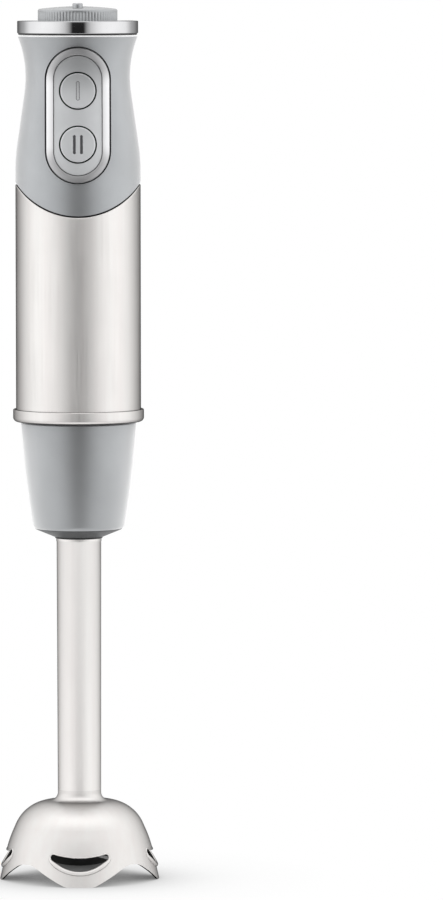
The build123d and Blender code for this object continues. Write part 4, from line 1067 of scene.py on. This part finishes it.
class STICK_OT_stage(Operator):
    """Set the white floor, the soft studio light and the camera"""

    bl_idname = "stick.stage"
    bl_label = "Stage"

    def execute(self, context):
        studio = context.scene.stick_studio
        self.floor(studio)
        self.world(context, studio)
        self.camera(context, studio)
        context.scene.view_settings.view_transform = "Standard"
        return {"FINISHED"}

    def floor(self, studio):
        """A wide pale floor, white to the camera but for the part's soft shadow, which is painted on it from
        ambient occlusion.
        """
        mesh = bmesh.new()
        bmesh.ops.create_grid(mesh, x_segments=8, y_segments=8, size=0.5)
        reach = studio.floor_front + studio.floor_back
        for vert in mesh.verts:
            vert.co.x *= studio.floor_width
            vert.co.y = vert.co.y * reach + (studio.floor_back - studio.floor_front) / 2.0
        finish = bpy.data.materials.new("studio_floor")
        finish.use_nodes = True
        put("studio_floor", mesh, [finish])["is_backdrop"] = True
        tree = finish.node_tree
        tree.nodes.clear()
        matt = add_node(tree, "BsdfDiffuse", {"Color": [studio.floor_tone] * 3 + [1.0]})
        close = add_node(tree, "AmbientOcclusion", {"Distance": studio.shadow_reach}, samples=16)
        # Painted shadow: the glow the camera sees follows the ambient occlusion through these steps
        painted_shadow_steps = [
            (0.0, 0.12), (0.08, 0.27), (0.2, 0.4), (0.4, 0.53),
            (0.6, 0.66), (0.8, 0.8), (0.9, 0.9), (0.97, 1.0),
        ]
        white = add_node(tree, "Emission", {"Strength": ramp(tree, close.outputs["AO"], painted_shadow_steps)})
        path = add_node(tree, "LightPath")
        mirrored = maths(tree, "MULTIPLY", path.outputs["Is Glossy Ray"], studio.floor_lift)
        seen = maths(tree, "MAXIMUM", path.outputs["Is Camera Ray"], mirrored)
        both = add_node(tree, "MixShader", {0: seen, 1: matt.outputs["BSDF"], 2: white.outputs["Emission"]})
        add_node(tree, "OutputMaterial", {"Surface": both.outputs["Shader"]})

    def world(self, context, studio):
        """White behind the part; bright all round it, but for a dark gap in front and flags behind."""
        world = bpy.data.worlds.new("white_studio")
        context.scene.world = world
        world.use_nodes = True
        tree = world.node_tree
        parts = add_node(tree, "SeparateXYZ", {"Vector": add_node(tree, "TexCoord").outputs["Generated"]})
        forward = maths(tree, "MULTIPLY", parts.outputs["Y"], -1.0)
        bearing = maths(tree, "ARCTAN2", parts.outputs["X"], forward)
        around = maths(tree, "MULTIPLY_ADD", bearing, 1.0 / TURN, 0.5)
        height = maths(tree, "MULTIPLY_ADD", parts.outputs["Z"], 0.5, 0.5)

        gap, dim = studio.front_gap, studio.back_light
        in_front = [
            (-70, 1.0), (-50, 0.92), (-36, 0.78), (-25, 0.58), (-17, 0.32), (-10, gap),
            (12, gap), (18, 0.32), (26, 0.58), (37, 0.78), (50, 0.92), (70, 1.0),
        ]
        behind = [
            (-180, 0.85), (-150, dim), (-125, dim), (-105, 1.0),
            (105, 1.0), (125, dim), (150, dim), (180, 0.85),
        ]
        gap_heights = [(-1.0, 1.0), (0.1, 1.0), (0.25, 0.7), (0.4, 0.45), (0.6, 0.28), (0.9, 0.0)]
        flag_heights = [(-0.6, 0.0), (-0.45, 1.0), (0.1, 1.0), (0.3, 0.5), (0.7, 0.5), (0.95, 0.0)]
        ahead = [
            (-180, 1.0), (-95, 1.0), (-72, 0.8), (-50, 0.65), (50, 0.65), (72, 0.8), (95, 1.0), (180, 1.0),
        ]
        band_heights = [
            (-0.75, 0.0), (-0.6, 1.0), (-0.36, 1.0), (-0.12, 0.0),
            (0.12, 0.0), (0.45, 1.0), (0.55, 1.0), (0.9, 0.0),
        ]
        level = studio.side_light
        for bearings, heights in ((in_front, gap_heights), (behind, flag_heights), (ahead, band_heights)):
            round_about = ramp(tree, around, [(0.5 + deg / 360.0, tone) for deg, tone in bearings])
            up_and_down = ramp(tree, height, [(0.5 + sine / 2.0, tone) for sine, tone in heights])
            shadow = add_node(tree, "Mix", {"Factor": up_and_down, "A": 1.0, "B": round_about})
            level = maths(tree, "MULTIPLY", shadow.outputs["Result"], level)
        to_camera = add_node(tree, "LightPath").outputs["Is Camera Ray"]
        seen = add_node(tree, "Mix", {"Factor": to_camera, "A": level, "B": 1.0}).outputs["Result"]
        feed(tree, tree.nodes["Background"], {"Strength": seen, "Color": (1.0, 1.0, 1.0, 1.0)})

    def camera(self, context, studio):
        """A long lens a little over the part's middle."""
        data = bpy.data.cameras.new("photo_camera")
        data.lens = studio.lens
        data.sensor_width = 36.0
        data.clip_end = 100.0
        camera = bpy.data.objects.new("photo_camera", data)
        context.scene.collection.objects.link(camera)
        place = Vector((0.0, -3.264, 0.424))
        aim = Vector((0.0652, 0.0, 0.1963))
        camera.location = place
        tilt = radians(-0.06)
        roll = Quaternion((0.0, 0.0, 1.0), tilt)
        camera.rotation_euler = ((aim - place).to_track_quat("-Z", "Y") @ roll).to_euler()
        context.scene.camera = camera


OPERATORS = (
    STICK_OT_dial,
    STICK_OT_rings,
    STICK_OT_sleeve,
    STICK_OT_grip,
    STICK_OT_keys,
    STICK_OT_collar,
    STICK_OT_bell,
    STICK_OT_inside,
    STICK_OT_stage,
)


class STICK_PT_panel(Panel):
    """Lists the pieces and their settings in the sidebar"""

    bl_idname = "STICK_PT_panel"
    bl_label = "Stick Blender"
    bl_space_type = "VIEW_3D"
    bl_region_type = "UI"
    bl_category = "Stick Blender"

    def draw(self, context):
        for operator in OPERATORS:
            self.layout.operator(operator.bl_idname)
        for setting in SETTINGS:
            box = self.layout.box()
            group = getattr(context.scene, setting)
            for key in group.__annotations__:
                box.prop(group, key)


def register():
    for group in SETTINGS.values():
        bpy.utils.register_class(group)
    for name, group in SETTINGS.items():
        setattr(bpy.types.Scene, name, PointerProperty(type=group))
    for operator in OPERATORS:
        bpy.utils.register_class(operator)
    bpy.utils.register_class(STICK_PT_panel)


def unregister():
    bpy.utils.unregister_class(STICK_PT_panel)
    for operator in reversed(OPERATORS):
        bpy.utils.unregister_class(operator)
    for name in SETTINGS:
        delattr(bpy.types.Scene, name)
    for group in SETTINGS.values():
        bpy.utils.unregister_class(group)


def main():
    register()
    bpy.ops.stick.dial()
    bpy.ops.stick.rings()
    bpy.ops.stick.sleeve()
    bpy.ops.stick.grip()
    bpy.ops.stick.keys()
    bpy.ops.stick.collar()
    bpy.ops.stick.bell()
    bpy.ops.stick.inside()
    bpy.ops.stick.stage()
    boxes = {"cad": CAD_BOX, "visual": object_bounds()}
    {name: [list(corner) for corner in box] for name, box in boxes.items()}


if __name__ == "__main__":
    main()
